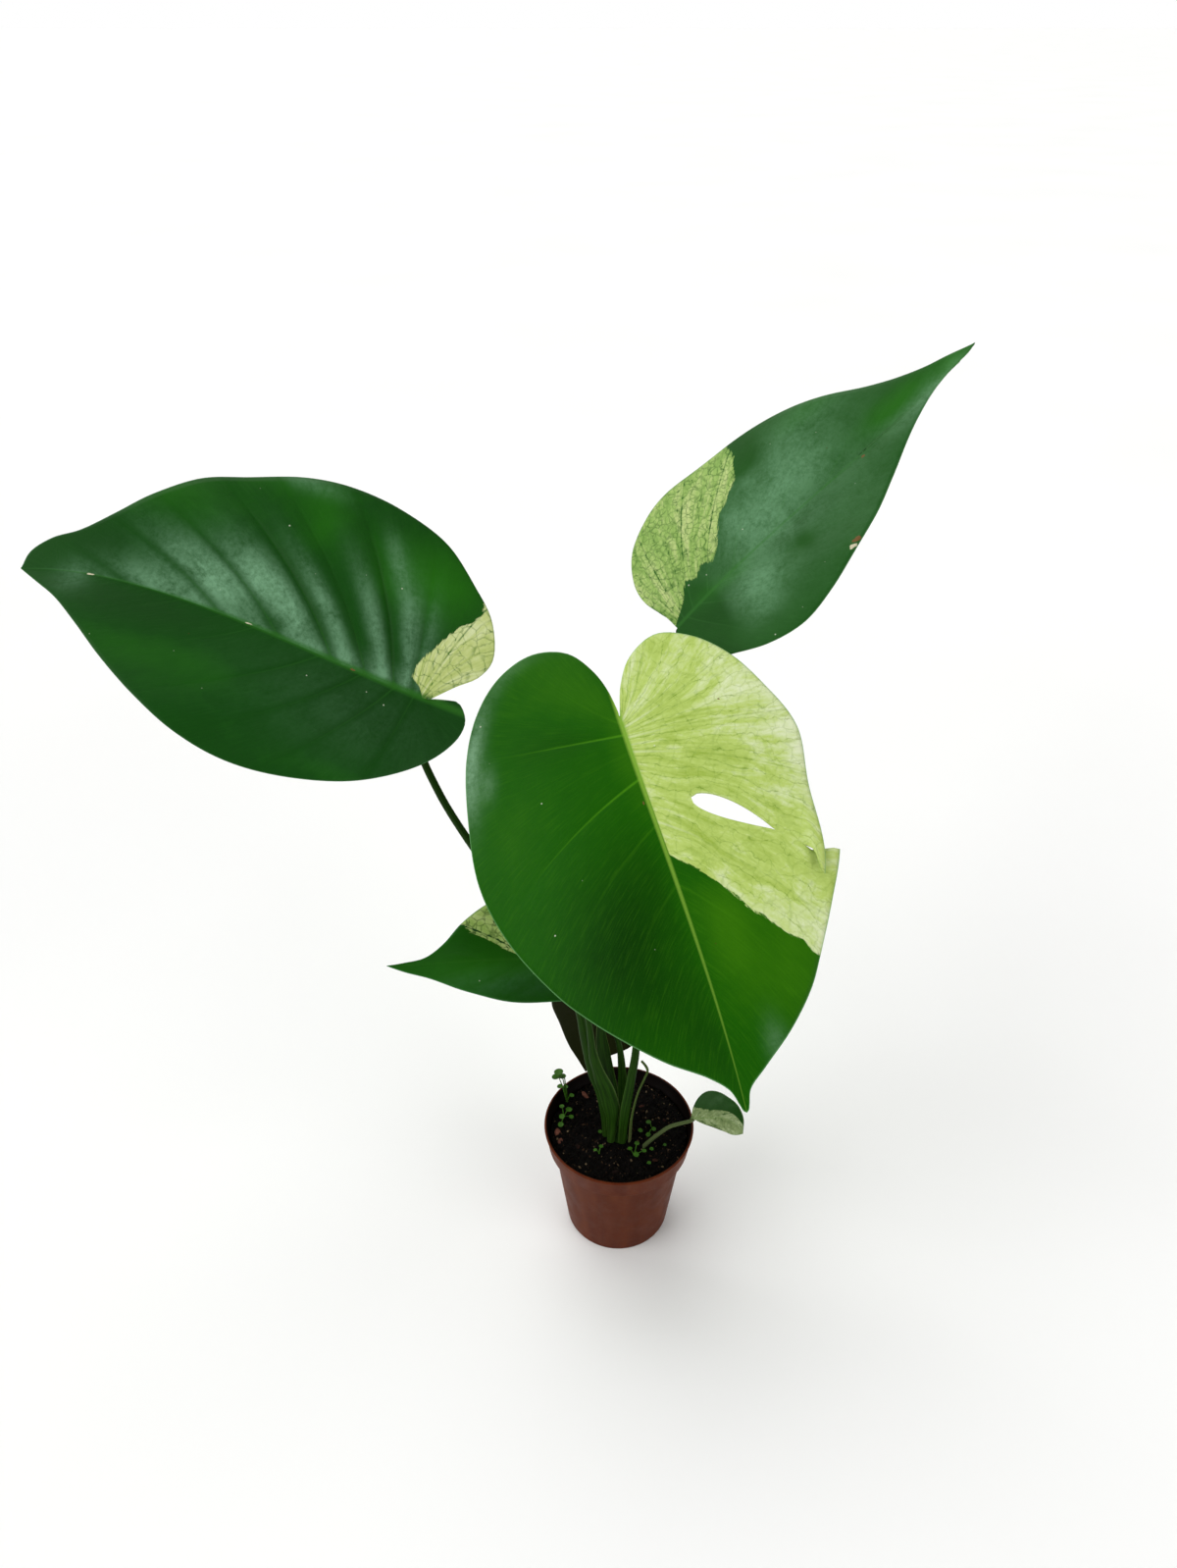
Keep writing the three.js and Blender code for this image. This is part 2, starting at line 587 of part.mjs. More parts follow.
// The blade's middle surface as vertices and triangles that face the upper side.
function bladeSurface(leaf) {
  const frame = bladeFrame(leaf);
  const points = [];
  const ribs = [];
  const seen = new Map();
  const triangles = [];
  const halves = { minus: halfGrid(leaf, frame.length, -1), plus: halfGrid(leaf, frame.length, 1) };
  const last = leaf.columns;
  const vertex = (half, column, row, strip) => {
    const grid = halves[half];
    const t = grid.rows[row];
    let key = `${half} ${column} ${row}`;
    let copy = '';
    if (column === 0 || column === last) key = `end ${column}`;
    else if (row === 0) key = `midrib ${column}`;
    else if (grid.opening && column === grid.opening.column && openingAt(grid.opening, t).open) {
      copy = strip < column ? 'before' : 'after';
      key += copy;
    }
    if (!seen.has(key)) {
      const { u, v, w } = grid.at(column, column === 0 || column === last ? 0 : t, copy);
      seen.set(key, points.length);
      const onMidrib = row === 0 || column === 0 || column === last;
      ribs.push(onMidrib ? Math.max(0, 1 - u / frame.length) : 0);
      points.push(frame.base.clone().addScaledVector(frame.along, u).addScaledVector(frame.across, v)
        .addScaledVector(frame.face, w));
    }
    return seen.get(key);
  };
  for (const half of ['minus', 'plus']) {
    const count = halves[half].rows.length - 1;
    for (let strip = 0; strip < last; strip += 1) {
      for (let row = 0; row < count; row += 1) {
        const a = vertex(half, strip, row, strip);
        const b = vertex(half, strip + 1, row, strip);
        const c = vertex(half, strip + 1, row + 1, strip);
        const d = vertex(half, strip, row + 1, strip);
        const pair = strip < last / 2 ? [[a, b, c], [a, c, d]] : [[a, b, d], [b, c, d]];
        for (const [p, q, r] of pair) {
          if (p === q || q === r || r === p) continue;
          triangles.push(half === 'plus' ? [p, q, r] : [q, p, r]);
        }
      }
    }
  }
  return { points, triangles, ribs };
}

// A thin sheet split alike on both faces and closed round its edges, with a keel under the midrib.
// grow makes it larger all round, to cut what touches it.
function makeBlade(leaf, grow = 0) {
  const { points, triangles, ribs } = bladeSurface(leaf);
  const normals = points.map(() => new THREE.Vector3());
  for (const [p, q, r] of triangles) {
    const ab = points[q].clone().sub(points[p]);
    const normal = ab.cross(points[r].clone().sub(points[p]));
    for (const k of [p, q, r]) normals[k].add(normal);
  }
  for (const normal of normals) normal.normalize();
  const sides = triangles.flatMap(([p, q, r]) => [[p, q], [q, r], [r, p]]);
  const directed = new Set(sides.map(([a, b]) => `${a} ${b}`));
  const margin = sides.filter(([a, b]) => !directed.has(`${b} ${a}`));
  const outward = points.map(() => new THREE.Vector3());
  for (const [a, b] of margin) {
    const out = points[b].clone().sub(points[a]).cross(normals[a]).normalize();
    outward[a].add(out);
    outward[b].add(out);
  }
  const half = BLADE_THICKNESS / 2 + grow;
  const spread = points.map((p, k) => p.clone().addScaledVector(outward[k].normalize(), 1.5 * grow));
  const upper = spread.map((p, k) => p.clone().addScaledVector(normals[k], half));
  const lower = spread.map((p, k) => p.clone().addScaledVector(normals[k],
    -half - leaf.ribDepth * ribs[k] ** KEEL_POWER));
  const count = points.length;
  const faces = triangles.flatMap(([p, q, r]) => [[p, q, r], [q + count, p + count, r + count]]);
  for (const [a, b] of margin) faces.push([b, a, a + count], [b, a + count, b + count]);
  return solidOf(makeGeometry([...upper, ...lower].map((p) => p.toArray()), faces));
}

function sectionAt(sections, place) {
  let k = 0;
  while (k < sections.length - 2 && place > sections[k + 1][0]) k += 1;
  const [from, to] = [sections[k], sections[k + 1]];
  const mix = smoothStep((place - from[0]) / (to[0] - from[0]));
  return from.map((value, i) => value + mix * (to[i] - value));
}

// The stalk's own points, then the neck that meets the blade's keel square on.
function stalkRoute(spec) {
  const route = spec.route.map(vec);
  if (spec.into) {
    const leaf = LEAVES[spec.into];
    const { base, face } = bladeFrame(leaf);
    const seat = BLADE_THICKNESS / 2 + leaf.ribDepth + GAP;
    for (const below of [spec.neck, seat]) route.push(base.clone().addScaledVector(face, -below));
  }
  return route;
}

// A stalk whose section goes from an open sheath at its foot to a round neck.
function makeStalk(spec, grow = 0) {
  const curve = new THREE.CatmullRomCurve3(stalkRoute(spec));
  const inward = vec(spec.inward);
  const points = [];
  const faces = [];
  for (let step = 0; step <= spec.steps; step += 1) {
    const place = step / spec.steps;
    const centre = curve.getPointAt(place);
    const tangent = curve.getTangentAt(place);
    if (step === 0) centre.addScaledVector(tangent, -grow);
    if (step === spec.steps) centre.addScaledVector(tangent, grow);
    const wide = new THREE.Vector3().crossVectors(tangent, inward).normalize();
    const deep = new THREE.Vector3().crossVectors(wide, tangent).normalize();
    const [, width, depth, channel] = sectionAt(spec.sections, place);
    for (let k = 0; k < STALK_SIDES; k += 1) {
      const angle = (2 * Math.PI * k) / STALK_SIDES;
      const sine = Math.sin(angle);
      const hollow = sine > 0 ? 1 - 2 * channel : 1;
      const x = (width / 2 + grow) * Math.cos(angle);
      const y = (depth / 2) * sine * hollow + Math.sign(Math.round(sine * 1e6)) * grow;
      points.push(centre.clone().addScaledVector(wide, x).addScaledVector(deep, y).toArray());
    }
  }
  const ring = (step, k) => step * STALK_SIDES + ((k + STALK_SIDES) % STALK_SIDES);
  for (let step = 0; step < spec.steps; step += 1) {
    for (let k = 0; k < STALK_SIDES; k += 1) {
      faces.push([ring(step, k), ring(step, k + 1), ring(step + 1, k + 1)]);
      faces.push([ring(step, k), ring(step + 1, k + 1), ring(step + 1, k)]);
    }
  }
  for (const step of [0, spec.steps]) {
    const turn = step === 0 ? ([p, q, r]) => [q, p, r] : (face) => face;
    for (let k = 0; k < STALK_SIDES / 2; k += 1) {
      if (k > 0) faces.push(turn([ring(step, k), ring(step, k + 1), ring(step, -k)]));
      if (k < STALK_SIDES / 2 - 1) faces.push(turn([ring(step, -k), ring(step, k + 1), ring(step, -k - 1)]));
    }
  }
  return solidOf(makeGeometry(points, faces));
}

function makeSeedling([x, y, height, leanX, leanY, radius, count], grow = 0) {
  const ground = soilHeight(x, y);
  const top = ground + height;
  const outline = new THREE.Shape().absarc(0, 0, SEEDLING.stalkRadius + grow, 0, 2 * Math.PI);
  const bend = SEEDLING.bendLean;
  const rise = new THREE.CatmullRomCurve3([
    vec([x, y, ground - SEEDLING.rootDepth - grow]), vec([x, y, ground]),
    vec([x + bend * leanX, y + bend * leanY, ground + SEEDLING.bendPlace * height]),
    vec([x + leanX, y + leanY, top])]);
  let seedling = solidOf(new THREE.ExtrudeGeometry(outline, {
    steps: 4, curveSegments: 3, extrudePath: rise,
  }));
  for (let k = 0; k < count; k += 1) {
    const leaflet = new THREE.SphereGeometry(1, 6, 4);
    leaflet.scale(radius + grow, LEAFLET.width * radius + grow, LEAFLET.thickness + grow);
    leaflet.translate(LEAFLET.out * radius, 0, 0);
    leaflet.rotateY(LEAFLET.tilt);
    leaflet.rotateZ((2 * Math.PI * k) / count + x);
    leaflet.translate(x + leanX, y + leanY, top - LEAFLET.below);
    seedling = seedling.add(solidOf(leaflet));
  }
  return seedling;
}

function buildPlant() {
  const group = new THREE.Group();
  const grownLeaves = Object.fromEntries(Object.entries(LEAVES).map(
    ([name, leaf]) => [name, makeBlade(leaf, GAP)],
  ));
  addPiece(group, 'pot', makePot(), COLOURS.pot, 0.55);
  const inSoil = [makeStalk(STALKS.stem, GAP), makeStalk(STALKS.petiole_baby, GAP)];
  for (const spec of Object.values(SEEDLINGS)) inSoil.push(makeSeedling(spec, GAP));
  addPiece(group, 'soil', makeSoil(inSoil), COLOURS.soil, 0.95);

  // Each sheath wraps the pieces made before it, so it is cut clear of them.
  const inner = [];
  for (const [name, spec] of Object.entries(STALKS)) {
    let stalk = makeStalk(spec);
    for (const piece of inner) stalk = stalk.subtract(piece);
    if (spec.into) stalk = stalk.subtract(grownLeaves[spec.into]);
    addPiece(group, name, mainBody(stalk), spec.colour, 0.5);
    inner.push(makeStalk(spec, SHEATH_GAP));
  }
  for (const [name, leaf] of Object.entries(LEAVES)) {
    addPiece(group, `leaf_${name}`, makeBlade(leaf), leaf.colour, 0.4);
  }
  for (const [name, spec] of Object.entries(SEEDLINGS)) {
    addPiece(group, name, makeSeedling(spec), COLOURS.sprout, 0.6);
  }
  return group;
}

export default buildPlant();
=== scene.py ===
"""The looks of a young half-moon variegated climbing aroid in a small nursery pot.

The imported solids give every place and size. This file draws the same blades, stalks, soil and pot finely,
with their veins, cream sectors, sheaths, crumbs and seedlings. Lengths in the tables are millimetres.
"""

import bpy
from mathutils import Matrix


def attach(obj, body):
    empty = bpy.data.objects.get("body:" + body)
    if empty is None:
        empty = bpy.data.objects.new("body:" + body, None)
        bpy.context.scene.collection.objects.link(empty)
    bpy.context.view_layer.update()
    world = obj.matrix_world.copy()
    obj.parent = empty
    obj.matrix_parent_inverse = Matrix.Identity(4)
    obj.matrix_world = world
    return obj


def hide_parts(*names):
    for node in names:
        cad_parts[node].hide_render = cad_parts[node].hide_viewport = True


bl_info = {
    "name": "Potted half-moon aroid",
    "version": (1, 0, 0),
    "blender": (4, 5, 0),
    "location": "3D View > Sidebar > Potted aroid",
    "description": "Leaves, stalks, soil, seedlings and pot of a young variegated climbing aroid",
    "category": "Add Mesh",
}

import math
import random
from functools import partial

import bmesh
import bpy
import numpy as np
from mathutils import Matrix, Vector, noise

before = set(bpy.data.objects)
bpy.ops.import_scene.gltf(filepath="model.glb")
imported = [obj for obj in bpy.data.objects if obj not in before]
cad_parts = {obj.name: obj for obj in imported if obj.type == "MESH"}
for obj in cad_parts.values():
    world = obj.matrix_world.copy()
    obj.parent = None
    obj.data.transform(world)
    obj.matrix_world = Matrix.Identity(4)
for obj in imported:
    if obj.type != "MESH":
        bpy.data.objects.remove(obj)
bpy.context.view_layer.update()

MM = 0.001
BODY = "root"

# The photograph's camera: its place, its downward tilt and a lens as long as the frame asks for.
CAMERA_PLACE = (-14.276, -374.127, 498.579)
CAMERA_TILT = 33.387
FOCAL_PIXELS = 1200
PHOTO_HEIGHT = 1598
SENSOR = 36

# Side veins leave the midrib crowded at the leaf's base and spread out towards the tip.
FOOT_LINEAR = 0.1
FOOT_POWER = 4.2

# The leaves. Outlines run from the sinus round the basal lobe to the tip, as (along, away): millimetres along
# the line from the base to the tip, and away from it. veins holds the places of the main side veins on each
# outline, from 0 at the sinus to 1 at the tip, and forces how strongly each of them shows, in full where none
# are given. patch is the outline of the cream sector on the blade's own plane, on the half that patch_side
# names. tones are soft zones of lighter or deeper green, partly the tissue's own colour and partly painted
# light and shade, each (along, away, half length, half width, amount); the sheen zones are such zones of
# painted sheen, pale patches that stand in for reflections of the cuticle; and scars are such zones of dead
# tissue, pale or, below 0, brown. Bands are zones on the minus half, with their places on the outline and
# shares of the way out to it in place of millimetres.
LEAVES = {
    "front": {
        "base": (-2, 26, 266), "tip": (43, -84.5, 165.5), "face": (-0.1, -0.69, 0.72),
        "minus": [(0, 0), (-13, 1.2), (-24.5, 5), (-35, 12.5), (-39.5, 26), (-35, 41.5), (-23.5, 54.5),
            (-6, 64), (22, 70), (48, 72), (72, 66.5), (97, 53.6), (108, 45.2), (116.5, 37.6), (131, 22.5),
            (140.5, 9.5), (147, 3.4), (152.5, 1.7), (155.3, 0.9), (156, 0)],
        "plus": [(0, 0), (-13.5, 4.3), (-24.7, 11.5), (-31, 24), (-25.5, 37), (-13, 48.5), (4, 57),
            (25, 63.8), (50, 60), (77, 59), (94, 52), (111, 42.7), (121, 36), (132.5, 24.7), (142.5, 11.6),
            (148.5, 4), (153.5, 1.9), (155.4, 1), (156, 0)],
        "veins": ((0.2, 0.37, 0.5, 0.61, 0.72, 0.81, 0.89), (0.14, 0.27, 0.4, 0.5, 0.713, 0.81, 0.89)),
        "forces": ((0.2, 1, 0.1, 1, 0.3, 0.2, 0.1), (0.5, 0.8, 0.4, 0.9, 1, 0.25, 0.15)),
        "window": {"place": 0.6332, "reach": 0.14, "start": 0.27, "end": 0.71, "half_width": 3.7,
            "split": 0.86, "gap": 0.3, "overlap_from": 0.22, "overlap": 5.8, "lift": 1.7},
        "patch": [(-60, 0), (59, 0.9), (66.4, 8.1), (74.7, 15), (76.3, 16.3), (88.6, 23.5), (89.8, 25.2),
            (99.7, 32.9), (104, 37.1), (110.4, 40.1), (116, 46), (90, 90), (-60, 90)],
        "tones": [(112, 32, 24, 14, 0.38), (90, 13, 26, 10, 0.5), (-14, 44, 24, 14, 0.4),
            (26, 62, 44, 8, 0.7), (98, 50, 16, 7, 0.5), (66, 38, 14, 9, -0.3), (80, 50, 10, 8, -0.35),
            (60, 14, 14, 8, -0.5), (22, 22, 32, 14, -0.35)],
        "tone_bands": [(0.79, 0.58, 0.1, 0.55, -0.85), (0.36, 0.42, 0.05, 0.25, -0.25),
            (0.94, 0.5, 0.06, 0.6, -0.35), (0.16, 0.5, 0.1, 0.6, 0.3), (0.45, 0.02, 0.4, 0.09, 0.3),
            (0.52, 0.7, 0.1, 0.2, 0.12)], "painted_sheens": [(137, 17, 9, 4, 0.22)],
        "painted_sheen_bands": [(0.37, 0.97, 0.07, 0.07, 0.85), (0.41, 0.84, 0.03, 0.05, 0.25),
            (0.24, 0.99, 0.06, 0.06, 0.2)], "scars": [(6, 38.3, 0.9, 0.7, -1), (37, -1.8, 1.4, 0.5, -0.6)],
    },
    "left": {
        "base": (-79.5, 45.5, 263), "tip": (-239, 61, 315), "face": (0.25, -0.66, 0.7),
        "minus": [(0, 0), (-8.5, 9), (-16.5, 16.5), (-19.7, 25), (-14.5, 40), (-3, 52), (14, 66),
            (35, 72.5), (56, 73.5), (76, 70.5), (96.5, 63.7), (114, 57), (129, 44), (140.5, 31), (151, 21),
            (161, 15), (167.5, 7.5), (168.5, 0)],
        "plus": [(0, 0), (-5, -1.5), (-11.5, -3.5), (-16.5, 2), (-16.5, 10), (-10.5, 22), (1, 34),
            (18.5, 45), (42, 51.3), (66, 52.5), (86, 48.2), (104.5, 39.5), (123, 28), (138, 17),
            (150, 8.8), (160, 4), (168.5, 0)],
        "veins": ((0.2, 0.34, 0.479, 0.595, 0.679, 0.772, 0.845, 0.93), (0.3, 0.47, 0.6, 0.7, 0.8, 0.88)),
        "forces": ((0.1, 0.3, 1, 0.6, 1, 0.7, 0.5, 0.1), (0.5, 0.7, 0.4, 0.6, 0.3, 0.2)),
        "patch": [(1.6, 2), (5, -3.5), (9.2, -6.4), (8.9, -11.6), (2.5, -24), (-2.4, -32.6), (-6.4, -36.1),
            (-10, -41.2), (-9.5, -45.5), (-8.3, -49), (-40, -60), (-40, 0)],
        "tones": [(20, 12, 40, 20, -0.5), (117, 9, 24, 10, -0.4), (141, -15, 12, 8, -0.3),
            (125, -42, 28, 14, 0.4), (92, -64, 34, 9, 0.4), (14, -46, 24, 16, 0.75),
            (63, -53, 9, 14, 0.45), (100, 26, 34, 10, 0.35), (25, 46, 34, 6, 0.2)],
        "painted_sheens": [(147, 3, 6, 6, 0.35), (75, -65, 16, 4, 0.35), (30, 20, 40, 20, 0.1)],
        "painted_sheen_bands": [(0.33, 0.25, 0.055, 0.28, 0.55), (0.405, 0.3, 0.03, 0.28, 0.65),
            (0.43, 0.66, 0.02, 0.14, 0.4), (0.528, 0.25, 0.025, 0.28, 0.7), (0.643, 0.25, 0.02, 0.3, 0.75),
            (0.722, 0.28, 0.028, 0.3, 1), (0.755, 0.42, 0.03, 0.2, 0.7), (0.812, 0.4, 0.035, 0.32, 1),
            (0.885, 0.2, 0.05, 0.34, 0.75), (0.5, 0.02, 0.38, 0.08, 0.5)],
        "scars": [(141, 0, 1.8, 0.5, 0.9), (76, 0, 1.6, 0.5, 0.9), (32.5, 0.5, 1.6, 0.6, -0.8),
            (61.8, -61, 0.9, 0.8, 1)],
    },
    "right": {
        "base": (23.3, 77.4, 280), "tip": (145.6, 132.7, 383), "face": (-0.38, -0.5, 0.78),
        "minus": [(0, 0), (-5, 6), (-7, 14.5), (-3, 23), (6, 30), (19, 39), (35, 43.7), (52, 42.3),
            (67, 38.8), (85.5, 32.6), (102, 24), (118.5, 15.3), (129.5, 10.3), (142.5, 5.3), (154.5, 2.6),
            (164, 1.6), (169.2, 0)],
        "plus": [(0, 0), (-0.2, 9), (-2, 19.6), (0.4, 30.3), (9.7, 43), (24, 49.5), (37, 51.3), (54, 49),
            (75.5, 45), (96.7, 36), (112.5, 27.3), (126.5, 17.3), (138, 10.4), (148, 6), (158, 3.3),
            (169.2, 0)],
        "veins": ((0.3, 0.46, 0.6, 0.72, 0.82, 0.9), (0.25, 0.4, 0.52, 0.63, 0.74, 0.83, 0.91)),
        "patch": [(0, 1), (9.9, 6.5), (16.1, 12.4), (20.6, 9.2), (25.9, 12.9), (29.8, 9.8), (34.7, 12.2),
            (46.7, 24.9), (51.6, 25.8), (61.6, 31.9), (69.8, 43.5), (72, 60), (-20, 60), (-20, 1)],
        "tones": [(74, 41, 9, 14, -0.3), (67, -6, 20, 6, -0.45), (6, -3, 12, 8, -0.4),
            (17, -13, 13, 9, -0.5), (62, -22, 14, 7, -0.25), (130, 6, 20, 6, 0.6), (31, -2, 12, 4, 0.4),
            (157, 1, 12, 5, 0.7), (13, 1, 9, 4, 0.4), (103, 33, 16, 5, 0.35)],
        "painted_sheens": [(70, 4, 56, 36, 0.18), (53, 8, 17, 13, 0.35), (35, -15, 13, 9, 0.4),
            (78, 15, 18, 10, 0.3), (92, 29, 22, 8, 0.2), (142, -2, 20, 5, 0.4), (60, -14, 5, 5, -0.2),
            (64, 26, 6, 5, 0.15), (47, 18, 5, 4, 0.15), (30, -26, 9, 5, 0.2), (8, -5, 12, 14, -0.3),
            (68, 38, 9, 10, -0.3), (126, 8, 14, 5, -0.15)],
        "scars": [(70.2, -33, 1.5, 1.2, 1.4), (72.8, -31.8, 1.8, 1.2, -1.3), (102, -1.6, 1, 0.7, -1)],
    },
    "small": {
        "base": (-17.5, 4, 160), "tip": (-95.5, -22, 178.5), "face": (0.3, -0.5, 0.8),
        "minus": [(0, 0), (-6, 3), (-10, 10), (-6, 19), (4, 25.5), (18, 28.5), (32, 26.8), (43.5, 22),
            (53.5, 15), (61, 7.5), (68.5, 2.6), (77, 1), (84.3, 0)],
        "plus": [(0, 0), (-6, 2.5), (-8.5, 8.5), (-4, 14.5), (6, 18), (20, 19), (38, 18), (53.5, 13),
            (67.5, 6.2), (77, 3), (84.3, 0)], "veins": ((0.4, 0.58, 0.72, 0.84), (0.4, 0.58, 0.72, 0.84)),
        "patch": [(55, -17), (53.3, -14.2), (47.4, -10.3), (44.1, -9.4), (39.2, -6.5), (35.1, -4),
            (29.6, -1.8), (10, -3), (0, -40), (50, -40)],
        "tones": [(40, 4, 24, 7, 0.8), (20, 14, 20, 8, -0.4)], "painted_sheens": [(35, 10, 26, 6, 0.2)],
    },
    "back": {
        "base": (-7.5, 26.5, 121), "tip": (-15.7, 29.4, 64.2), "face": (0.05, 1, 0.05),
        "minus": [(0, 0), (-6, 3), (-9, 11), (-5, 19), (6, 24), (20, 24.5), (32, 22.5), (40, 18.5),
            (45, 13), (49, 7), (57.5, 0)],
        "plus": [(0, 0), (-6, 3), (-9, 10), (-5, 18), (5, 22.5), (17, 22), (31, 16.5), (44, 10), (51, 5),
            (57.5, 0)], "veins": ((0.4, 0.6, 0.76), (0.4, 0.6, 0.76)),
    },
    "baby": {
        "base": (32, -14.5, 82), "tip": (54, -25, 83.5), "face": (0, -0.5, 0.86),
        "minus": [(0, 0), (2, 0.6), (6, 1.2), (11, 1.2), (16, 1.3), (20, 1.5), (23, 0.8), (24.4, 0)],
        "plus": [(0, 0), (-0.5, 5), (1, 10), (4, 13), (9, 14), (14, 13), (18, 11.5), (21, 9), (23, 6),
            (24.4, 0)], "veins": ((0.5, 0.7), (0.45, 0.62, 0.78)),
        "patch": [(-5, 4.5), (3, 4.5), (8, 3.6), (16, 3.4), (30, 1.5), (30, -20), (-5, -20)],
        "painted_sheens": [(10, 9, 8, 5, 0.15)],
    },
}

# What all leaves have, each in the order of LEAVES, pairs as (minus half, plus half). arch, droop and curl
# are heights of the bent blade, bend is the bow of its midrib, fold the slope of its halves, quilt the height
# of the pillows between side veins, wave that of the margin and keel the depth of the midrib underneath.
# columns and rows are the steps of its mesh. green goes from deep to light, cream from lime to cream. vein is
# the side veins, rib the midrib, net the dark veins of the sector, under the underside, and the pale sheen
# colour is that of the painted sheen, which stands in for reflections of the cuticle. The back leaf hangs in
# the shade
# behind the stalks: its deep greens and its near black, brown underside are partly old tissue and partly
# painted shade. Widths are millimetres, and cells are the meshes of the net for each millimetre.
LEAF_COLUMNS = {
    "slot": ("leaf_front", "leaf_dark", "leaf_blue_green", "leaf_dark", "leaf_back", "leaf_baby"),
    "arch": (8, 7, 6, 5, 4, 1.5), "bend": (1.6, -6, -5, 0, 0, 3.6), "droop": (3, 3, 0, -3, 0, 0),
    "fold": ((0.12, 0.1), (0.22, 0.22), (0.2, 0.2), (0.25, 0.25), (0.05, 0.05), (-0.9, 0.15)),
    "curl": ((10, 5), (5, 4), (8, 8), (8, 8), (6, 6), (0, 0)),
    "quilt": ((0.3, 0.35), (2.2, 0.5), (0.15, 0.12), (0.3, 0.3), (0.3, 0.3), (0, 0)),
    "wave": (1.2, 1.5, 1.2, 0.6, 0.4, 0), "keel": (2.4, 2.2, 2, 1.6, 1.5, 0.9),
    "columns": (150, 140, 130, 90, 80, 50), "rows": (44, 40, 36, 26, 24, 16),
    "patch_side": (1, -1, 1, -1, 0, 0),
    "green": (("#062E00", "#165200", "#3E7806"), ("#083004", "#0E4208", "#226806"),
        ("#0A3A04", "#184C10", "#266810"), ("#0E3C04", "#165006", "#226208"),
        ("#0C1C04", "#143806", "#1C480A"), ("#0C2604", "#143A08", "#2A5A16")),
    "vein": ("#4A8A12", "#2C6420", "#3A7232", "#2C6420", "#2C4A18", "#2E5418"),
    "rib": ("#7CA638", "#286418", "#2F6A24", "#2C6418", "#344A20", "#5C7838"),
    "cream": (("#93AC46", "#B0C56A", "#D4DDB6"), ("#9AB04E", "#BFCB80", "#DAE1B2"),
        ("#6A9040", "#90AE5C", "#CAD292"), ("#6C983E", "#A2BC66", "#CCD796"),
        ("#6C7A44", "#8C9A64", "#A0AC78"), ("#5E7040", "#829262", "#A8B48C")),
    "net": ("#6A8A2A", "#3F6A22", "#2E5C1E", "#14421A", "#30441C", "#3A5226"),
    "net_strength": (0.85, 1.7, 2, 2.2, 1, 1.6),
    "painted_sheen": ("#7FA684", "#6E9A76", "#78A880", "#5C8A6A", "#4C5C3C", "#7A9A74"),
    "margin": ("#6FA86A", "#3E7040", "#4C7E48", "#3C7A44", "#3C4C28", "#5C7A44"),
    "under": ("#6F9448", "#5E8550", "#5C8458", "#4F7A48", "#191406", "#7A8A58"),
    "under_share": (0.75, 0.75, 0.75, 0.75, 0.85, 0.75), "shine": (0.06, 0.11, 0.11, 0.12, 0.08, 0.12),
    "ribs": (0.6, 0.4, 0.16, 0.2, 0.4, 0.2), "vein_width": (0.55, 0.45, 0.4, 0.4, 0.5, 0.25),
    "midrib": (0.9, 0.8, 0.5, 0.5, 0.6, 0.5), "midrib_width": (1.5, 2.2, 1.1, 1, 1.2, 0.6),
    "flat": (1, 0.3, 1, 0.5, 0.5, 0.5), "clouds": (0.25, 0.4, 0.4, 0.4, 0.5, 0.4),
    "faint": (0.2, 0.15, 0.15, 0.15, 0.2, 0.2), "dust": (0.1, 0.5, 0.4, 0.5, 0.1, 0),
    "cells": (0.2, 0.2, 0.4, 0.34, 0.27, 0.8), "parallel": (0.6, 0.25, 0.2, 0.2, 0.5, 0.3),
}
for number, leaf in enumerate(LEAVES.values()):
    leaf.update({key: values[number] for key, values in LEAF_COLUMNS.items()})

# The blade's mesh: columns crowd at the tip and stand close at each side vein, rows crowd at the midrib.
TIP_CROWDING = 1.3
CLOSE_COLUMNS = 0.0035
ROW_CROWDING = 1.15

# The blade's thickness, the share of it that the rim loses, and where the rim begins on the way out.
BLADE_THICKNESS = 0.7
RIM_THINNING = 0.45
RIM_START = 0.93
KEEL_HALF_WIDTH = 1.1
GAP = 0.3
# Side veins lie in grooves between pillows, and bow on their way: this far along and away at their knee.
PILLOW_POWER = 0.8
PILLOW_REST = 0.45
GROOVE = 0.25
GROOVE_HALF_WIDTH = 0.7
KNEE = (0.33, 0.52)
# Waves of the margin on each half, and how far the two halves are out of step.
WAVES = 3
WAVE_SHIFT = 0.3
# The two halves' vein patterns stand this far apart, so that they differ.
HALF_SHIFT = 40
BLADE_MARKS = ("along", "away", "lateral", "spread", "force", "edge", "reach", "patch", "tone", "painted_sheen",
               "scar", "vein", "plane", "under")

# Stalks as in the solids. A section is (place along the route, width, depth, channel).
SHEATHED = [(0, 4.4, 3.8, 0.7), (0.1, 6.2, 4, 0.7), (0.17, 6.9, 3.8, 0.65), (0.22, 5.2, 3.6, 0.55),
            (0.32, 4.3, 3.5, 0.3), (0.45, 3.8, 3.5, 0.12), (0.92, 3.5, 3.3, 0.1), (1, 3.6, 3.4, 0)]
NARROW_SHEATHED = [(0, 4, 3.4, 0.6), (0.1, 5, 3.7, 0.6), (0.18, 4.2, 3.2, 0.4), (0.28, 3.2, 3, 0.2),
                   (0.92, 2.8, 2.7, 0.1), (1, 3.4, 3.2, 0)]
HIDDEN_SHEATHED = [(0, 3.6, 3.4, 0.6), (0.1, 4.6, 3.6, 0.55), (0.2, 4.4, 3.5, 0.4), (0.32, 4, 3.5, 0.25),
                   (0.45, 3.8, 3.5, 0.12), (0.92, 3.5, 3.3, 0.1), (1, 3.6, 3.4, 0)]
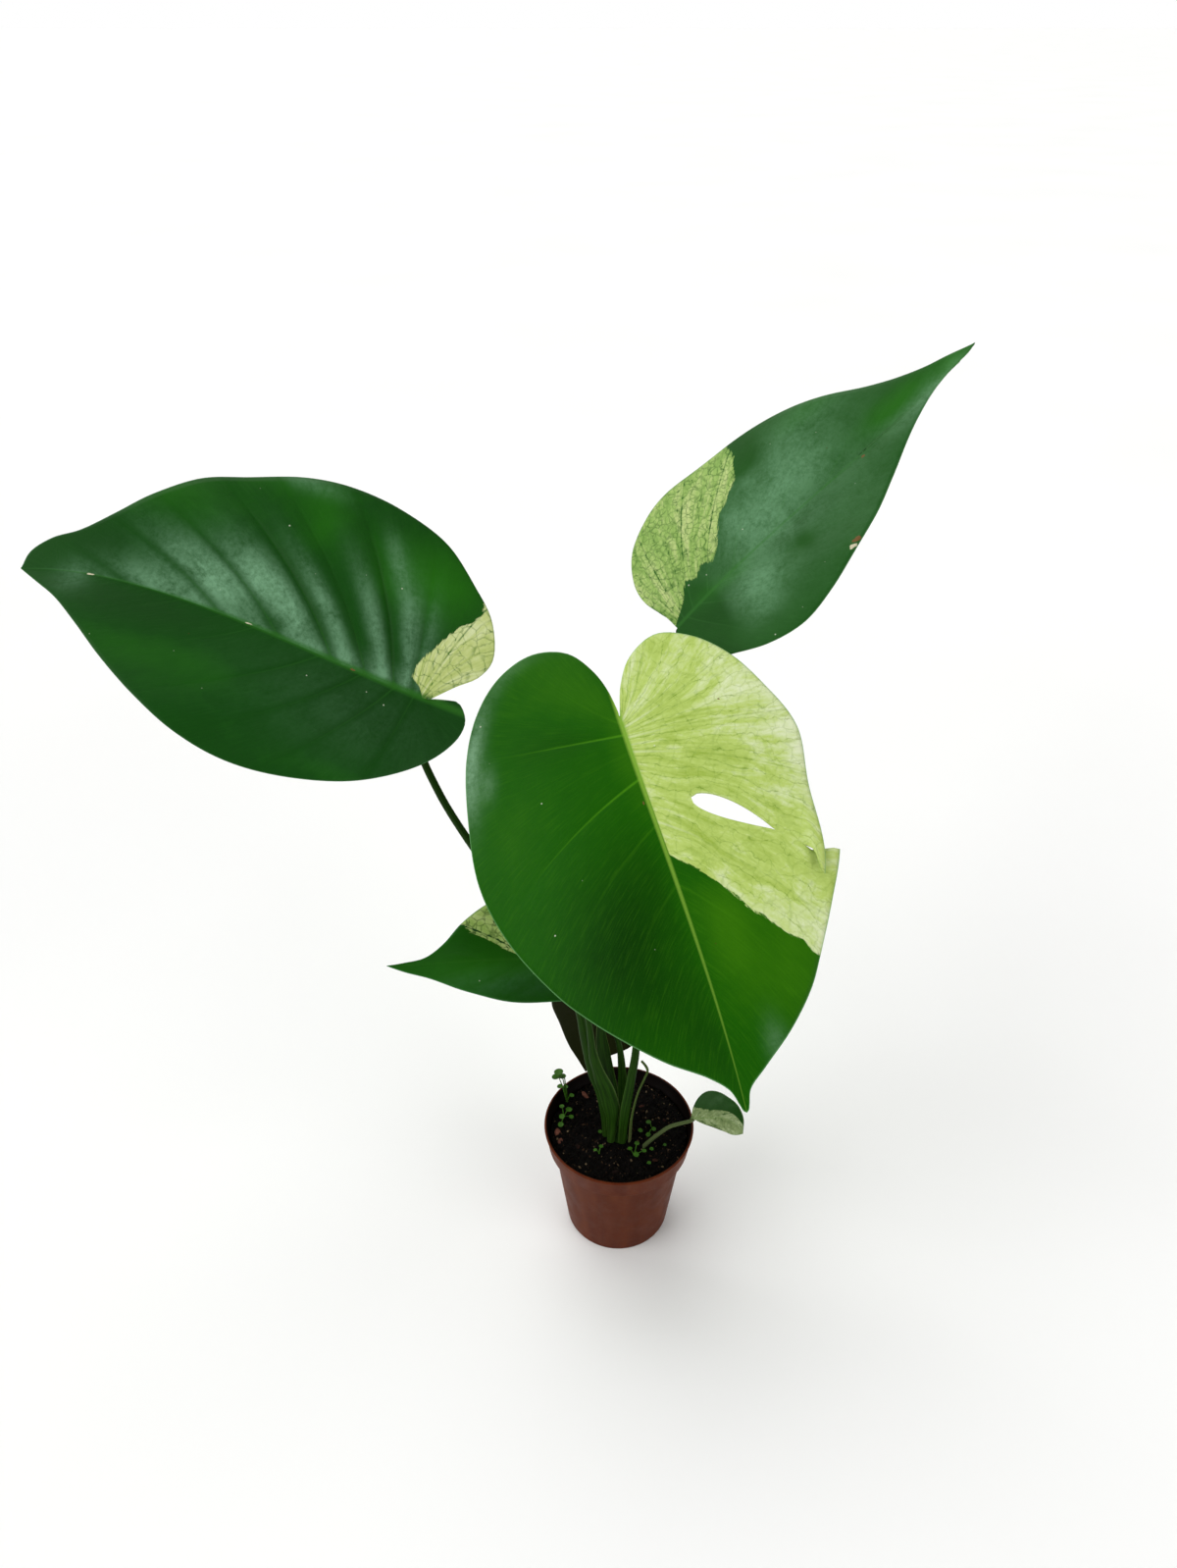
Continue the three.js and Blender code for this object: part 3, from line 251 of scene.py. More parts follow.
BROAD_SHEATHED = [(0, 3.4, 3.2, 0.5), (0.1, 5.4, 3.6, 0.65), (0.2, 8.6, 3.8, 0.7), (0.3, 8.4, 3.6, 0.65),
                  (0.42, 5.4, 3.2, 0.5), (0.55, 3.4, 2.8, 0.3), (0.7, 2.6, 2.4, 0.15), (1, 2.7, 2.5, 0)]
SLIM_SHEATHED = [(0, 5.4, 3.8, 0.7), (0.25, 5.2, 3.4, 0.65), (0.45, 3.6, 2.9, 0.4), (0.65, 2.6, 2.4, 0.15),
                 (1, 2.7, 2.5, 0)]
STALKS = {
    "stem": {
        "slot": "stem_green", "route": [(1.2, -5.6, 24), (0.8, -5.2, 48), (0.5, -4.9, 58), (0.2, -4.4, 67)],
        "inward": (0, 1, 0),
        "sections": [(0, 6.6, 6.6, 0), (0.6, 7, 6.8, 0), (0.74, 6.4, 6.2, 0), (0.78, 7.2, 7, 0),
            (0.82, 6.2, 6, 0), (1, 3.2, 3.2, 0)],
    },
    "petiole_front": {
        "route": [(1.3, -8.2, 58.4), (2.4, -7.7, 77), (5, -4.5, 97), (6.8, -0.5, 109), (8, 12, 140),
            (8, 28, 180), (5, 41, 222), (0.5, 41, 248)], "inward": (-0.2, 1, 0.2),
        "sections": NARROW_SHEATHED, "into": "front", "neck": 9,
    },
    "petiole_left": {
        "route": [(-6, -4.6, 58.6), (-6.8, -2.2, 71), (-9, 0.8, 82), (-12.4, 3.2, 91), (-16.2, 6.4, 112),
            (-18.8, 8.8, 127), (-31, 13.4, 154), (-47.8, 20, 181), (-63.8, 29.4, 201.5), (-78.2, 42, 221),
            (-86, 52, 238)], "inward": (0.3, 1, 0.2), "sections": HIDDEN_SHEATHED, "into": "left", "neck": 9,
    },
    "petiole_right": {
        "route": [(-2.6, -1.4, 59), (-2.9, 1.7, 78), (-7, 8, 98), (-8.4, 11.5, 111), (-1.5, 25, 139),
            (12, 52, 186), (23, 77, 236), (28, 86, 261)], "inward": (0.6, -0.8, 0.2), "sections": SHEATHED,
        "into": "right", "neck": 9,
    },
    "petiole_small": {
        "route": [(-4, -8.2, 58.6), (-3.4, -6, 67), (-3.5, -5, 75), (-5.2, -3.4, 84), (-8.8, -2, 95),
            (-12, -0.9, 106.5), (-14, 0, 125), (-16.8, 3.4, 143)], "inward": (0.25, 0.95, 0.2),
        "sections": BROAD_SHEATHED, "into": "small", "neck": 7,
    },
    "petiole_back": {
        "route": [(2.4, -0.2, 59), (1.5, 5.2, 84), (-0.6, 10, 104)], "inward": (0, -1, 0.2),
        "sections": SLIM_SHEATHED, "into": "back", "neck": 7,
    },
    "petiole_baby": {
        "slot": "petiole_pale",
        "route": [(9.4, -7.6, 45), (10.9, -9.1, 54.7), (13.9, -10.1, 60.8), (18.2, -11, 67.2),
            (22.9, -11.6, 72.6)], "inward": (-0.3, 0.2, 1),
        "sections": [(0, 2.6, 2.4, 0), (0.5, 2.2, 2, 0.1), (1, 1.8, 1.6, 0.1)], "into": "baby", "neck": 4,
    },
    "dry_sheath": {
        "slot": "dry_sheath",
        "route": [(4.7, -8.4, 59.5), (5.2, -8.2, 74), (6.3, -7.6, 82), (8, -6.8, 90), (10.9, -5.6, 98),
            (12.1, -5.3, 102), (11.2, -5.2, 105), (9.4, -4.9, 107.6)], "inward": (-0.9, 0.3, 0.2),
        "sections": [(0, 3.2, 1.6, 0.3), (0.6, 2.6, 1.4, 0.3), (0.82, 2, 1.2, 0.2), (1, 1.2, 1, 0)],
    },
}
# Finish of each stalk's slot: its name, deep, pale and foot colours, roughness and the foot's share.
STALK_LOOKS = {
    "stem_green": ("living stem skin", "#1C380C", "#34541C", "#5A6C38", 0.5),
    "petiole": ("living petiole skin", "#0E2403", "#2C520E", "#5A7436", 0.5, 0.06),
    "petiole_pale": ("pale petiole skin", "#3C4A28", "#5E6A42", "#7C7656", 0.6),
    "dry_sheath": ("drying papery sheath", "#2E4218", "#50622E", "#6C6648", 0.7),
}
STALK_SIDES = 28
POT_SIDES = 144
LIVING_IOR = 1.42

# Soft boxes, as (name, direction towards it, angle that it fills in degrees, strength).
SOFT_LIGHTS = [("overhead box", (-0.3, 0.5, 0.8), 60, 1.6), ("right box", (0.75, -0.55, 0.4), 45, 1.0),
               ("window at the left", (-0.85, -0.35, 0.5), 50, 1.6)]

# The pot and soil, as in the solids.
POT_HEIGHT = 62
RIM_RADIUS = 35
COLLAR_HEIGHT = 11
COLLAR_FOOT_RADIUS = 33.2
BODY_TOP_RADIUS = 30.6
BASE_RADIUS = 24.4
WALL = 0.9
FLOOR = 1.4
DRAIN_COUNT = 6
DRAIN_RADIUS = 2.6
DRAIN_CIRCLE = 16
SOIL_TOP = 55.8
SOIL_RADIUS = 31.9
SOIL_LUMP = 0.8

# Weed seedlings: the root's x and y, then each round leaf as (x, y, height over the soil, radius) from it.
SEEDLINGS = {
    "sprout_rim": (-24.7, 17.2, [(-2.4, 1, 19.4, 2.3), (-3.8, 0.2, 17.6, 2), (-1, 0.6, 16.8, 1.9),
                                 (-2.2, -0.4, 12, 1.5), (-0.2, 0.4, 9.6, 1.3), (1.6, -0.8, 6.4, 1.2)]),
    "sprout_left": (-26, 8.4, [(1.5, 1, 3.4, 1.6), (-0.8, 2.4, 3.8, 1.3), (-0.6, -1.6, 3.2, 1.4),
                               (2.8, -1.4, 2.2, 1.2), (-1.2, -5.2, 1.8, 1.4)]),
    "sprout_middle": (-9.4, -13.4, [(0.6, 1, 2.8, 1.1), (-1.2, 0.2, 2, 0.9)]),
    "sprout_right": (15.6, 1.4, [(-0.8, 0.6, 3.4, 1.3), (0.6, -1.6, 2.6, 1.1), (-1.6, -4.4, 2, 1.2)]),
    "sprout_near": (6.8, -14.6, [(0.4, -0.8, 2.8, 1.4), (-1.4, 1.6, 2.2, 1.2), (3.8, 1, 2, 1.2),
                                 (1.2, 4.6, 2, 1.3)]),
}
LONE_LEAVES = [(-7.5, -3.2, 1.4), (-9.6, -1.4, 1), (9.3, -0.4, 1.2), (14.2, -11.2, 1), (12.8, -18.4, 0.9),
               (20.6, -8.4, 0.8)]

# Bark chips bedded in the soil: (x, y, length, turn in degrees, how light and red from 0 to 1).
CHIPS = [(-29, -0.8, 4.6, 80, 1), (-27.4, -6.2, 3.4, 60, 0.8), (-16, 21.6, 5.2, 120, 0.8),
         (11.6, 14.7, 3.2, 20, 0.5), (16.4, -17.3, 3, 0, 0.4), (-19.4, -9, 3.2, 120, 0.1),
         (-2, -24, 3.6, 15, 0.1), (22, 6, 2.8, 130, 0.2)]

# Tones of the soil's pieces, from 0 to 1.
PEAT_TONES = [(0, "#040302"), (0.45, "#0A0705"), (0.85, "#15100B"), (1, "#241810")]
CRUMB_TONES = [(0, "#050302"), (0.6, "#0C0806"), (0.86, "#1E150E"), (0.95, "#4A3524"), (1, "#9A8466")]
BARK_TONES = [(0, "#120A07"), (0.5, "#4A2A20"), (1, "#9A6250")]


def linear(hex_colour):
    """A #RRGGBB colour of the screen as the linear colour that a shader takes."""
    parts = [int(hex_colour[i:i + 2], 16) / 255 for i in (1, 3, 5)]
    return (*(c / 12.92 if c <= 0.04045 else ((c + 0.055) / 1.055) ** 2.4 for c in parts), 1)


def add_node(tree, kind, *inputs, **named):
    """Adds a node with its settings, and sets or links its inputs.

    kind is the end of the node's type name, and its operation or data type may follow it. Inputs stand in
    the order in which the node shows them, or have a name with a capital. Other names are settings. A node
    stands for the first output that it shows, and a text with # for a colour.
    """
    kind, _, choice = kind.partition(" ")
    made = tree.nodes.new(next(family + "Node" + kind for family in ("Shader", "Geometry", "Function", "")
                               if hasattr(bpy.types, family + "Node" + kind)))
    if choice:
        setattr(made, "operation" if hasattr(made, "operation") else "data_type", choice)
    for name in filter(str.islower, list(named)):
        setattr(made, name, named.pop(name))
    pairs = list(zip([socket for socket in made.inputs if socket.enabled], inputs))
    pairs += [(made.inputs[name.replace("_", " ")], value) for name, value in named.items()]
    for socket, value in pairs:
        if isinstance(value, bpy.types.Node):
            value = next(output for output in value.outputs if output.enabled)
        if isinstance(value, bpy.types.NodeSocket):
            tree.links.new(value, socket)
        else:
            socket.default_value = linear(value) if str(value).startswith("#") else value
    return made


def new_material(name):
    """An empty material, and what adds a node to it."""
    material = bpy.data.materials.new(name)
    material.use_nodes = True
    material.node_tree.nodes.clear()
    return material, partial(add_node, material.node_tree)


def surfaced(material, node, colour, relief=None, strength=1, depth=0, **finish):
    """Ends a material with a surface of this colour and finish, and a relief this many millimetres deep."""
    if relief:
        finish["Normal"] = node("Bump", Height=relief, Strength=strength, Distance=depth * MM)
    node("OutputMaterial", node("BsdfPrincipled", Base_Color=colour, **finish))
    return material


def set_ramp(ramp, stops):
    """Gives a colour ramp its stops, each a place and a colour."""
    stops, elements = list(stops), ramp.color_ramp.elements
    for place, _ in stops[1:-1]:
        elements.new(place)
    for element, (place, colour) in zip(elements, stops):
        element.position, element.color = place, linear(colour)


def new_tree(name, **inputs):
    """A geometry node tree with named inputs, what adds a node to it, and its input sockets."""
    tree = bpy.data.node_groups.new(name, "GeometryNodeTree")
    for label, kind in {"Geometry": "Geometry", **inputs, "Finish": "Material"}.items():
        tree.interface.new_socket(label, in_out="INPUT", socket_type="NodeSocket" + kind)
    tree.interface.new_socket("Geometry", in_out="OUTPUT", socket_type="NodeSocketGeometry")
    node = partial(add_node, tree)
    return tree, node, node("GroupInput").outputs


def marked_curves(node, given, mark, radius):
    """The given path with its points' places stored, and a circle with its points' turns stored."""
    path = node("MeshToCurve", given["Geometry"])
    path = node("StoreNamedAttribute FLOAT_VECTOR", path, Name=mark, Value=node("InputPosition"))
    share = node("Math DIVIDE", node("InputIndex"), given["Sides"])
    circle = node("CurvePrimitiveCircle", Resolution=given["Sides"], Radius=radius)
    turn = node("Math MULTIPLY", share, 2 * math.pi)
    return path, node("StoreNamedAttribute FLOAT", circle, Name="turn", Value=turn)


def end_tree(node, given, swept, place):
    """Moves the swept points to their place, and ends the tree with real and finished faces."""
    shaped = node("SetShadeSmooth", node("SetPosition", swept, Position=place))
    real = node("RealizeInstances", shaped)
    node("GroupOutput", node("SetMaterial", real, Material=given["Finish"]))


def smooth_step(x):
    """0 to 1 with soft ends."""
    c = np.clip(x, 0, 1)
    return c * c * (3 - 2 * c)


def circle(sides):
    """Points round a circle of radius 1."""
    turns = [2 * math.pi * k / sides for k in range(sides)]
    return [(math.cos(turn), math.sin(turn)) for turn in turns]


def tube(first, rings, sides):
    """Faces between rings of points that follow each other from the first one."""
    starts = [(first + ring * sides, k, (k + 1) % sides) for ring in range(rings - 1) for k in range(sides)]
    return [(start + k, start + k + sides, start + after + sides, start + after)
            for start, k, after in starts]


def spline(points, places):
    """Points at shares of a centripetal Catmull-Rom curve's length, and that length."""
    knots = np.array(points, float)
    ends = (2 * knots[0] - knots[1], 2 * knots[-1] - knots[-2])
    padded = np.vstack([ends[0], knots, ends[1]])
    steps = np.linspace(0, len(knots) - 1, 60 * (len(knots) - 1) + 1)
    index = np.minimum(steps.astype(int), len(knots) - 2)
    w = (steps - index)[:, None]
    p = [padded[index + k] for k in range(4)]
    gaps = [np.maximum(np.linalg.norm(p[k + 1] - p[k], axis=1), 1e-6)[:, None] ** 0.5 for k in range(3)]
    m1 = ((p[1] - p[0]) / gaps[0] - (p[2] - p[0]) / (gaps[0] + gaps[1]) + (p[2] - p[1]) / gaps[1]) * gaps[1]
    m2 = ((p[2] - p[1]) / gaps[1] - (p[3] - p[1]) / (gaps[1] + gaps[2]) + (p[3] - p[2]) / gaps[2]) * gaps[1]
    curve = (p[1] + m1 * w + (3 * (p[2] - p[1]) - 2 * m1 - m2) * w ** 2
             + (2 * (p[1] - p[2]) + m1 + m2) * w ** 3)
    length = np.concatenate([[0], np.cumsum(np.linalg.norm(np.diff(curve, axis=0), axis=1))])
    wanted = np.asarray(places) * length[-1]
    return np.stack([np.interp(wanted, length, axis) for axis in curve.T], axis=1), length[-1]


def soil_height(x, y):
    """Height of the soil's lumpy top, as in the solids."""
    lumps = (np.sin(0.53 * x + 1.3) * np.cos(0.47 * y - 0.6)
             + 0.6 * np.sin(1.13 * x - 0.91 * y) + 0.4 * np.cos(1.7 * x + 1.9 * y))
    crown = 1.2 * np.exp(-((x - 1) ** 2 + (y + 5) ** 2) / 120)
    return float(SOIL_TOP + crown + 0.5 * SOIL_LUMP * lumps)


def add_object(name, data):
    """An object with this data, in the scene."""
    made = bpy.data.objects.new(name, data)
    bpy.context.scene.collection.objects.link(made)
    return made


def new_object(name, points, faces=(), edges=(), smooth=False):
    """A mesh object from points in millimetres, in the frame's own metres."""
    mesh = bpy.data.meshes.new(name)
    mesh.from_pydata([tuple(float(c) * MM for c in p) for p in points], edges, faces)
    mesh.validate()
    mesh.update()
    if smooth:
        mesh.shade_smooth()
    return add_object(name, mesh)


def mark(piece, **marks):
    """Stores a number or a vector for each point of a piece."""
    for name, values in marks.items():
        values = np.asarray(values, np.float32)
        kind, field = ("FLOAT", "value") if values.ndim == 1 else ("FLOAT_VECTOR", "vector")
        piece.data.attributes.new(name, kind, "POINT").data.foreach_set(field, values.ravel())


def settle(piece, material, slot, *nodes):
    """Gives a piece its finish and its place in the frame."""
    if material:
        piece.data.materials.clear()
        piece.data.materials.append(material)
    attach(piece, BODY)
    if nodes:
        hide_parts(*nodes)


def applied(piece):
    """Turns a piece's modifiers into plain mesh."""
    graph = bpy.context.evaluated_depsgraph_get()
    old, mesh = piece.data, bpy.data.meshes.new_from_object(piece.evaluated_get(graph))
    piece.modifiers.clear()
    piece.data = mesh
    mesh.name = piece.name
    bpy.data.meshes.remove(old)


def grown(piece, tree, **inputs):
    """Runs a geometry node tree on a piece and keeps what it makes."""
    modifier = piece.modifiers.new(tree.name, "NODES")
    modifier.node_group = tree
    sockets = {item.name: item.identifier for item in tree.interface.items_tree if item.in_out == "INPUT"}
    for name, value in inputs.items():
        modifier[sockets[name]] = value
    applied(piece)


def outward_faces(piece):
    """Turns all faces of a closed piece outwards, its doubled points merged first."""
    work = bmesh.new()
    work.from_mesh(piece.data)
    bmesh.ops.remove_doubles(work, verts=work.verts, dist=1e-7)
    bmesh.ops.recalc_face_normals(work, faces=work.faces)
    work.to_mesh(piece.data)
    work.free()


def zones(u, v, spots):
    """Sum of soft round zones, each (along, away, half length, half width, amount)."""
    total = np.zeros(len(u))
    for along, away, length, width, amount in spots:
        total += amount * np.exp(-((u - along) / length) ** 2 - ((v - away) / width) ** 2)
    return total


class Blade:
    """One leaf blade: its frame, its outline and the fine sheet between them."""

    def __init__(self, spec):
        self.spec = spec
        self.base = np.array(spec["base"], float)
        along = np.array(spec["tip"], float) - self.base
        self.length = np.linalg.norm(along)
        self.along = along / self.length
        face = np.array(spec["face"], float)
        face -= face.dot(self.along) * self.along
        self.face = face / np.linalg.norm(face)
        self.across = np.cross(self.face, self.along)

    def places(self):
        """Places of the columns: even, crowded at the tip, with close ones on each main side vein."""
        spec = self.spec
        even = 1 - (1 - np.linspace(0, 1, spec["columns"] + 1)) ** TIP_CROWDING
        special = [s for half in spec["veins"] for s in half]
        if "window" in spec:
            special.append(spec["window"]["place"])
        extra = [s + k * CLOSE_COLUMNS for s in special for k in (-1, 0, 1)]
        kept = [s for s in even if min(abs(s - e) for e in extra) > 0.6 * CLOSE_COLUMNS or s in (0, 1)]
        return np.array(sorted(set(kept + extra)))

    def midrib(self, place):
        """How far the midrib bows away from its plane's axis, at most by the leaf's bend."""
        c = np.clip(place, 0, 1)
        return self.spec["bend"] * 27 / 4 * c * c * (1 - c)

    def height(self, u, v):
        """Height of the blade's middle surface over the plane of its midrib."""
        spec = self.spec
        place = u / self.length
        away = v - self.midrib(place)
        fold = np.where(away < 0, spec["fold"][0], spec["fold"][1])
        curl = np.where(away < 0, spec["curl"][0], spec["curl"][1])
        return (spec["arch"] * 4 * place * (1 - place)
                - spec["droop"] * np.maximum(0, (place - 0.75) / 0.25) ** 2
                + fold * (np.sqrt(away * away + 9) - 3) - curl * (v / 50) ** 2)

    def opening(self, t):
        """How far the sides of the window and split stand apart at t, and how far they are lifted."""
        window = self.spec["window"]
        x = np.clip((t - window["start"]) / (window["end"] - window["start"]), 0, 1)
        # sqrt(x) (1 - x) is 0.385 at most.
        apart = window["half_width"] * np.sqrt(x) * (1 - x) / 0.385
        y = np.clip((t - window["split"]) / (1 - window["split"]), 0, 1)
        gap = window["gap"] * np.sin(np.pi * np.minimum(1, y * 1.75))
        in_split = t > window["split"]
        overlap = window["overlap"] * smooth_step((y - window["overlap_from"]) / (1 - window["overlap_from"]))
        apart = np.where(in_split, gap - overlap, apart)
        lift = np.where(in_split, window["lift"] * smooth_step(y * 2), 0)
        is_open = ((t > window["start"]) & (t < window["end"])) | in_split
        return apart, lift, is_open

    def half(self, side, places, rows, after=False):
        """u, v, height and vein coordinates of one half, in columns from the midrib to the outline."""
        spec, number = self.spec, int(side > 0)
        outline = [(u, side * v) for u, v in spec[("minus", "plus")[number]]]
        edge, edge_length = spline(outline, places)
        s, t = places[:, None], rows[None, :]
        foot = FOOT_LINEAR * s + (1 - FOOT_LINEAR) * s ** FOOT_POWER
        foot, edge = (foot * self.length, self.midrib(foot)), (edge[:, :1], edge[:, 1:])
        legs = [(a, a + bend * (b - a), b) for a, b, bend in zip(foot, edge, KNEE)]
        u, v = ((1 - t) ** 2 * a + 2 * t * (1 - t) * knee + t * t * b for a, knee, b in legs)
        wave = spec["wave"] * np.sin(2 * np.pi * (WAVES * s + WAVE_SHIFT * side)) * t ** 3
        veins, quilt = spec["veins"][number], spec["quilt"][number]
        forces = spec.get("forces", ((1,) * len(veins),) * 2)[number]
        phase = np.interp(s, (0, *veins, 1), range(len(veins) + 2))
        force = np.interp(s, (0, *veins, 1), (0, *forces, 0))
        valley = force * (1 - np.abs(np.sin(np.pi * phase)) ** PILLOW_POWER)
        bulge = quilt * (PILLOW_REST - valley) * 4 * t * (1 - t)
        u_s, v_s, u_t, v_t = (np.gradient(x, steps, axis=axis)
                              for axis, steps in enumerate((places, rows)) for x in (u, v))
        across_veins = np.abs(u_s * v_t - v_s * u_t) / np.maximum(np.hypot(u_t, v_t), 1e-6)
        gaps = np.array([np.abs(s - p) for p in veins])
        near_vein = gaps.min(axis=0) * across_veins
        force = np.array(forces)[gaps.argmin(axis=0)]
        groove = (-GROOVE * np.exp(-(near_vein / GROOVE_HALF_WIDTH) ** 2) * (1 - t) * np.minimum(1, 8 * t)
                  * force * min(1, quilt))
        lift = (wave + bulge) * np.sin(np.pi * s) + groove
        if "window" in spec and side > 0:
            window = spec["window"]
            far = np.clip(1 - np.abs(s - window["place"]) / window["reach"], 0, 1) ** 2
            apart, raised, _ = self.opening(t)
            way = np.where(s < window["place"] + (-1e-9 if after else 1e-9), -1.0, 1.0)
            slope = [2 * (1 - t) * (knee - a) + 2 * t * (b - knee) for a, knee, b in legs]
            size = np.maximum(np.hypot(*slope), 1e-9)
            u = u + way * far * apart * slope[1] / size
            v = v - way * far * apart * slope[0] / size
            lift = lift - way * far * raised
        reach = np.hypot(edge[0] - foot[0], edge[1] - foot[1])
        vein = np.broadcast_arrays(s * edge_length, t * reach, near_vein, (1 - t) * reach,
                                   across_veins / edge_length, force, s)
        return u, v, self.height(u, v) + lift, *vein

    def sheet(self):
        """The middle surface: points with their vein coordinates, and faces that face up."""
        spec = self.spec
        places = self.places()
        rows = np.linspace(0, 1, spec["rows"] + 1) ** ROW_CROWDING
        last = len(places) - 1
        slit = None
        if "window" in spec:
            slit = int(np.argmin(np.abs(places - spec["window"]["place"])))
        data, faces, seen = [], [], {}
        for side in (-1, 1):
            grids = {after: self.half(side, places, rows, after) for after in (False, True)}
            is_open = self.opening(rows)[2] if slit is not None and side > 0 else np.zeros(len(rows), bool)

            def vertex(column, row, strip):
                after = bool(0 < row and column == slit and is_open[row] and strip >= column)
                if column in (0, last):
                    row, after = 0, False
                key = (column, row, side * (row > 0), after)
                if key not in seen:
                    seen[key] = len(data)
                    values = [layer[column, row] for layer in grids[after]]
                    data.append(values + [side * float(row > 0), rows[row]])
                return seen[key]

            for strip in range(last):
                for row in range(len(rows) - 1):
                    ring = [vertex(strip + across, row + out, strip)
                            for across, out in ((0, 0), (1, 0), (1, 1), (0, 1))][::side]
                    ring = [p for k, p in enumerate(ring) if p != ring[k - 1]]
                    if len(ring) > 2:
                        faces.append(ring)
        return np.array(data), faces

    def patch_distance(self, u, v):
        """Signed millimetres inside the cream sector's outline, positive inside."""
        outline, points = np.array(self.spec.get("patch", ()), float), np.stack([u, v], axis=1)
        nearest = np.full(len(u), 1e9)
        inside = np.zeros(len(u), bool)
        for a, b in zip(outline, np.roll(outline, -1, axis=0)):
            edge = b - a
            t = np.clip((points - a) @ edge / (edge @ edge), 0, 1)
            nearest = np.minimum(nearest, np.linalg.norm(points - a - t[:, None] * edge, axis=1))
            crosses = (a[1] > v) != (b[1] > v)
            safe = np.where(np.abs(edge[1]) < 1e-9, 1e-9, edge[1])
            inside ^= crosses & (u < edge[0] * (v - a[1]) / safe + a[0])
        return np.clip(np.where(inside, nearest, -nearest), -20, 20)

    def build(self, name):
        """The closed blade with its coordinates stored for the material."""
        data, faces = self.sheet()
        u, v, w, along_edge, inward, off_vein, edge, spread, force, place, side, t = data.T
        points = self.base + u[:, None] * self.along + v[:, None] * self.across + w[:, None] * self.face
        normals = np.zeros_like(points)
        for face in faces:
            a, b, c, d = (points[face[k]] for k in (0, 1, 2, -1))
            normals[face] += np.cross(c - a, d - b) if len(face) == 4 else np.cross(b - a, c - a)
        normals /= np.linalg.norm(normals, axis=1)[:, None]
        rim = smooth_step((t - RIM_START) / (1 - RIM_START))
        thickness = BLADE_THICKNESS * (1 - RIM_THINNING * rim)
        slimming = np.clip(1 - u / self.length, 0, 1) ** 1.5
        beside = np.exp(-(inward / KEEL_HALF_WIDTH) ** 2) * slimming
        keel = self.spec["keel"] * np.where(side == 0, slimming, beside)
        upper = points + normals * thickness[:, None] / 2
        lower = points - normals * (thickness / 2 + keel)[:, None]
        count = len(points)
        sides = [(f[k - 1], f[k]) for f in faces for k in range(len(f))]
        known = set(sides)
        walls = [(b, a, a + count, b + count) for a, b in sides if (b, a) not in known]
        under = [[p + count for p in reversed(f)] for f in faces]
        piece = new_object(name, np.vstack([upper, lower]), faces + under + walls, smooth=True)
        away = v - self.midrib(u / self.length)
        patch = self.patch_distance(u, away)
        if self.spec["patch_side"]:
            patch = np.where(side == -self.spec["patch_side"], np.minimum(patch, -np.abs(away)), patch)
        # tone sums soft zones that are partly the tissue's own colour and partly painted light and shade; the
        # sheen zones sum painted sheen.
        spots = {kind: zones(u, away, self.spec.get(kind, ())) for kind in ("tones", "painted_sheens", "scars")}
        tone, painted_sheen = (spots[kind + "s"] + (side < 1) * zones(place, t, self.spec.get(kind + "_bands", ()))
                       for kind in ("tone", "painted_sheen"))
        marks = (u / self.length, away, off_vein, spread, force, edge, t, patch, tone, np.clip(painted_sheen, 0, 1),
                 spots["scars"], np.stack([along_edge, inward, HALF_SHIFT * side], axis=1),
                 np.stack([u, v, np.zeros(count)], axis=1))
        mark(piece, under=np.repeat((0, 1), count),
             **{key: np.concatenate([values, values]) for key, values in zip(BLADE_MARKS, marks)})
        return piece


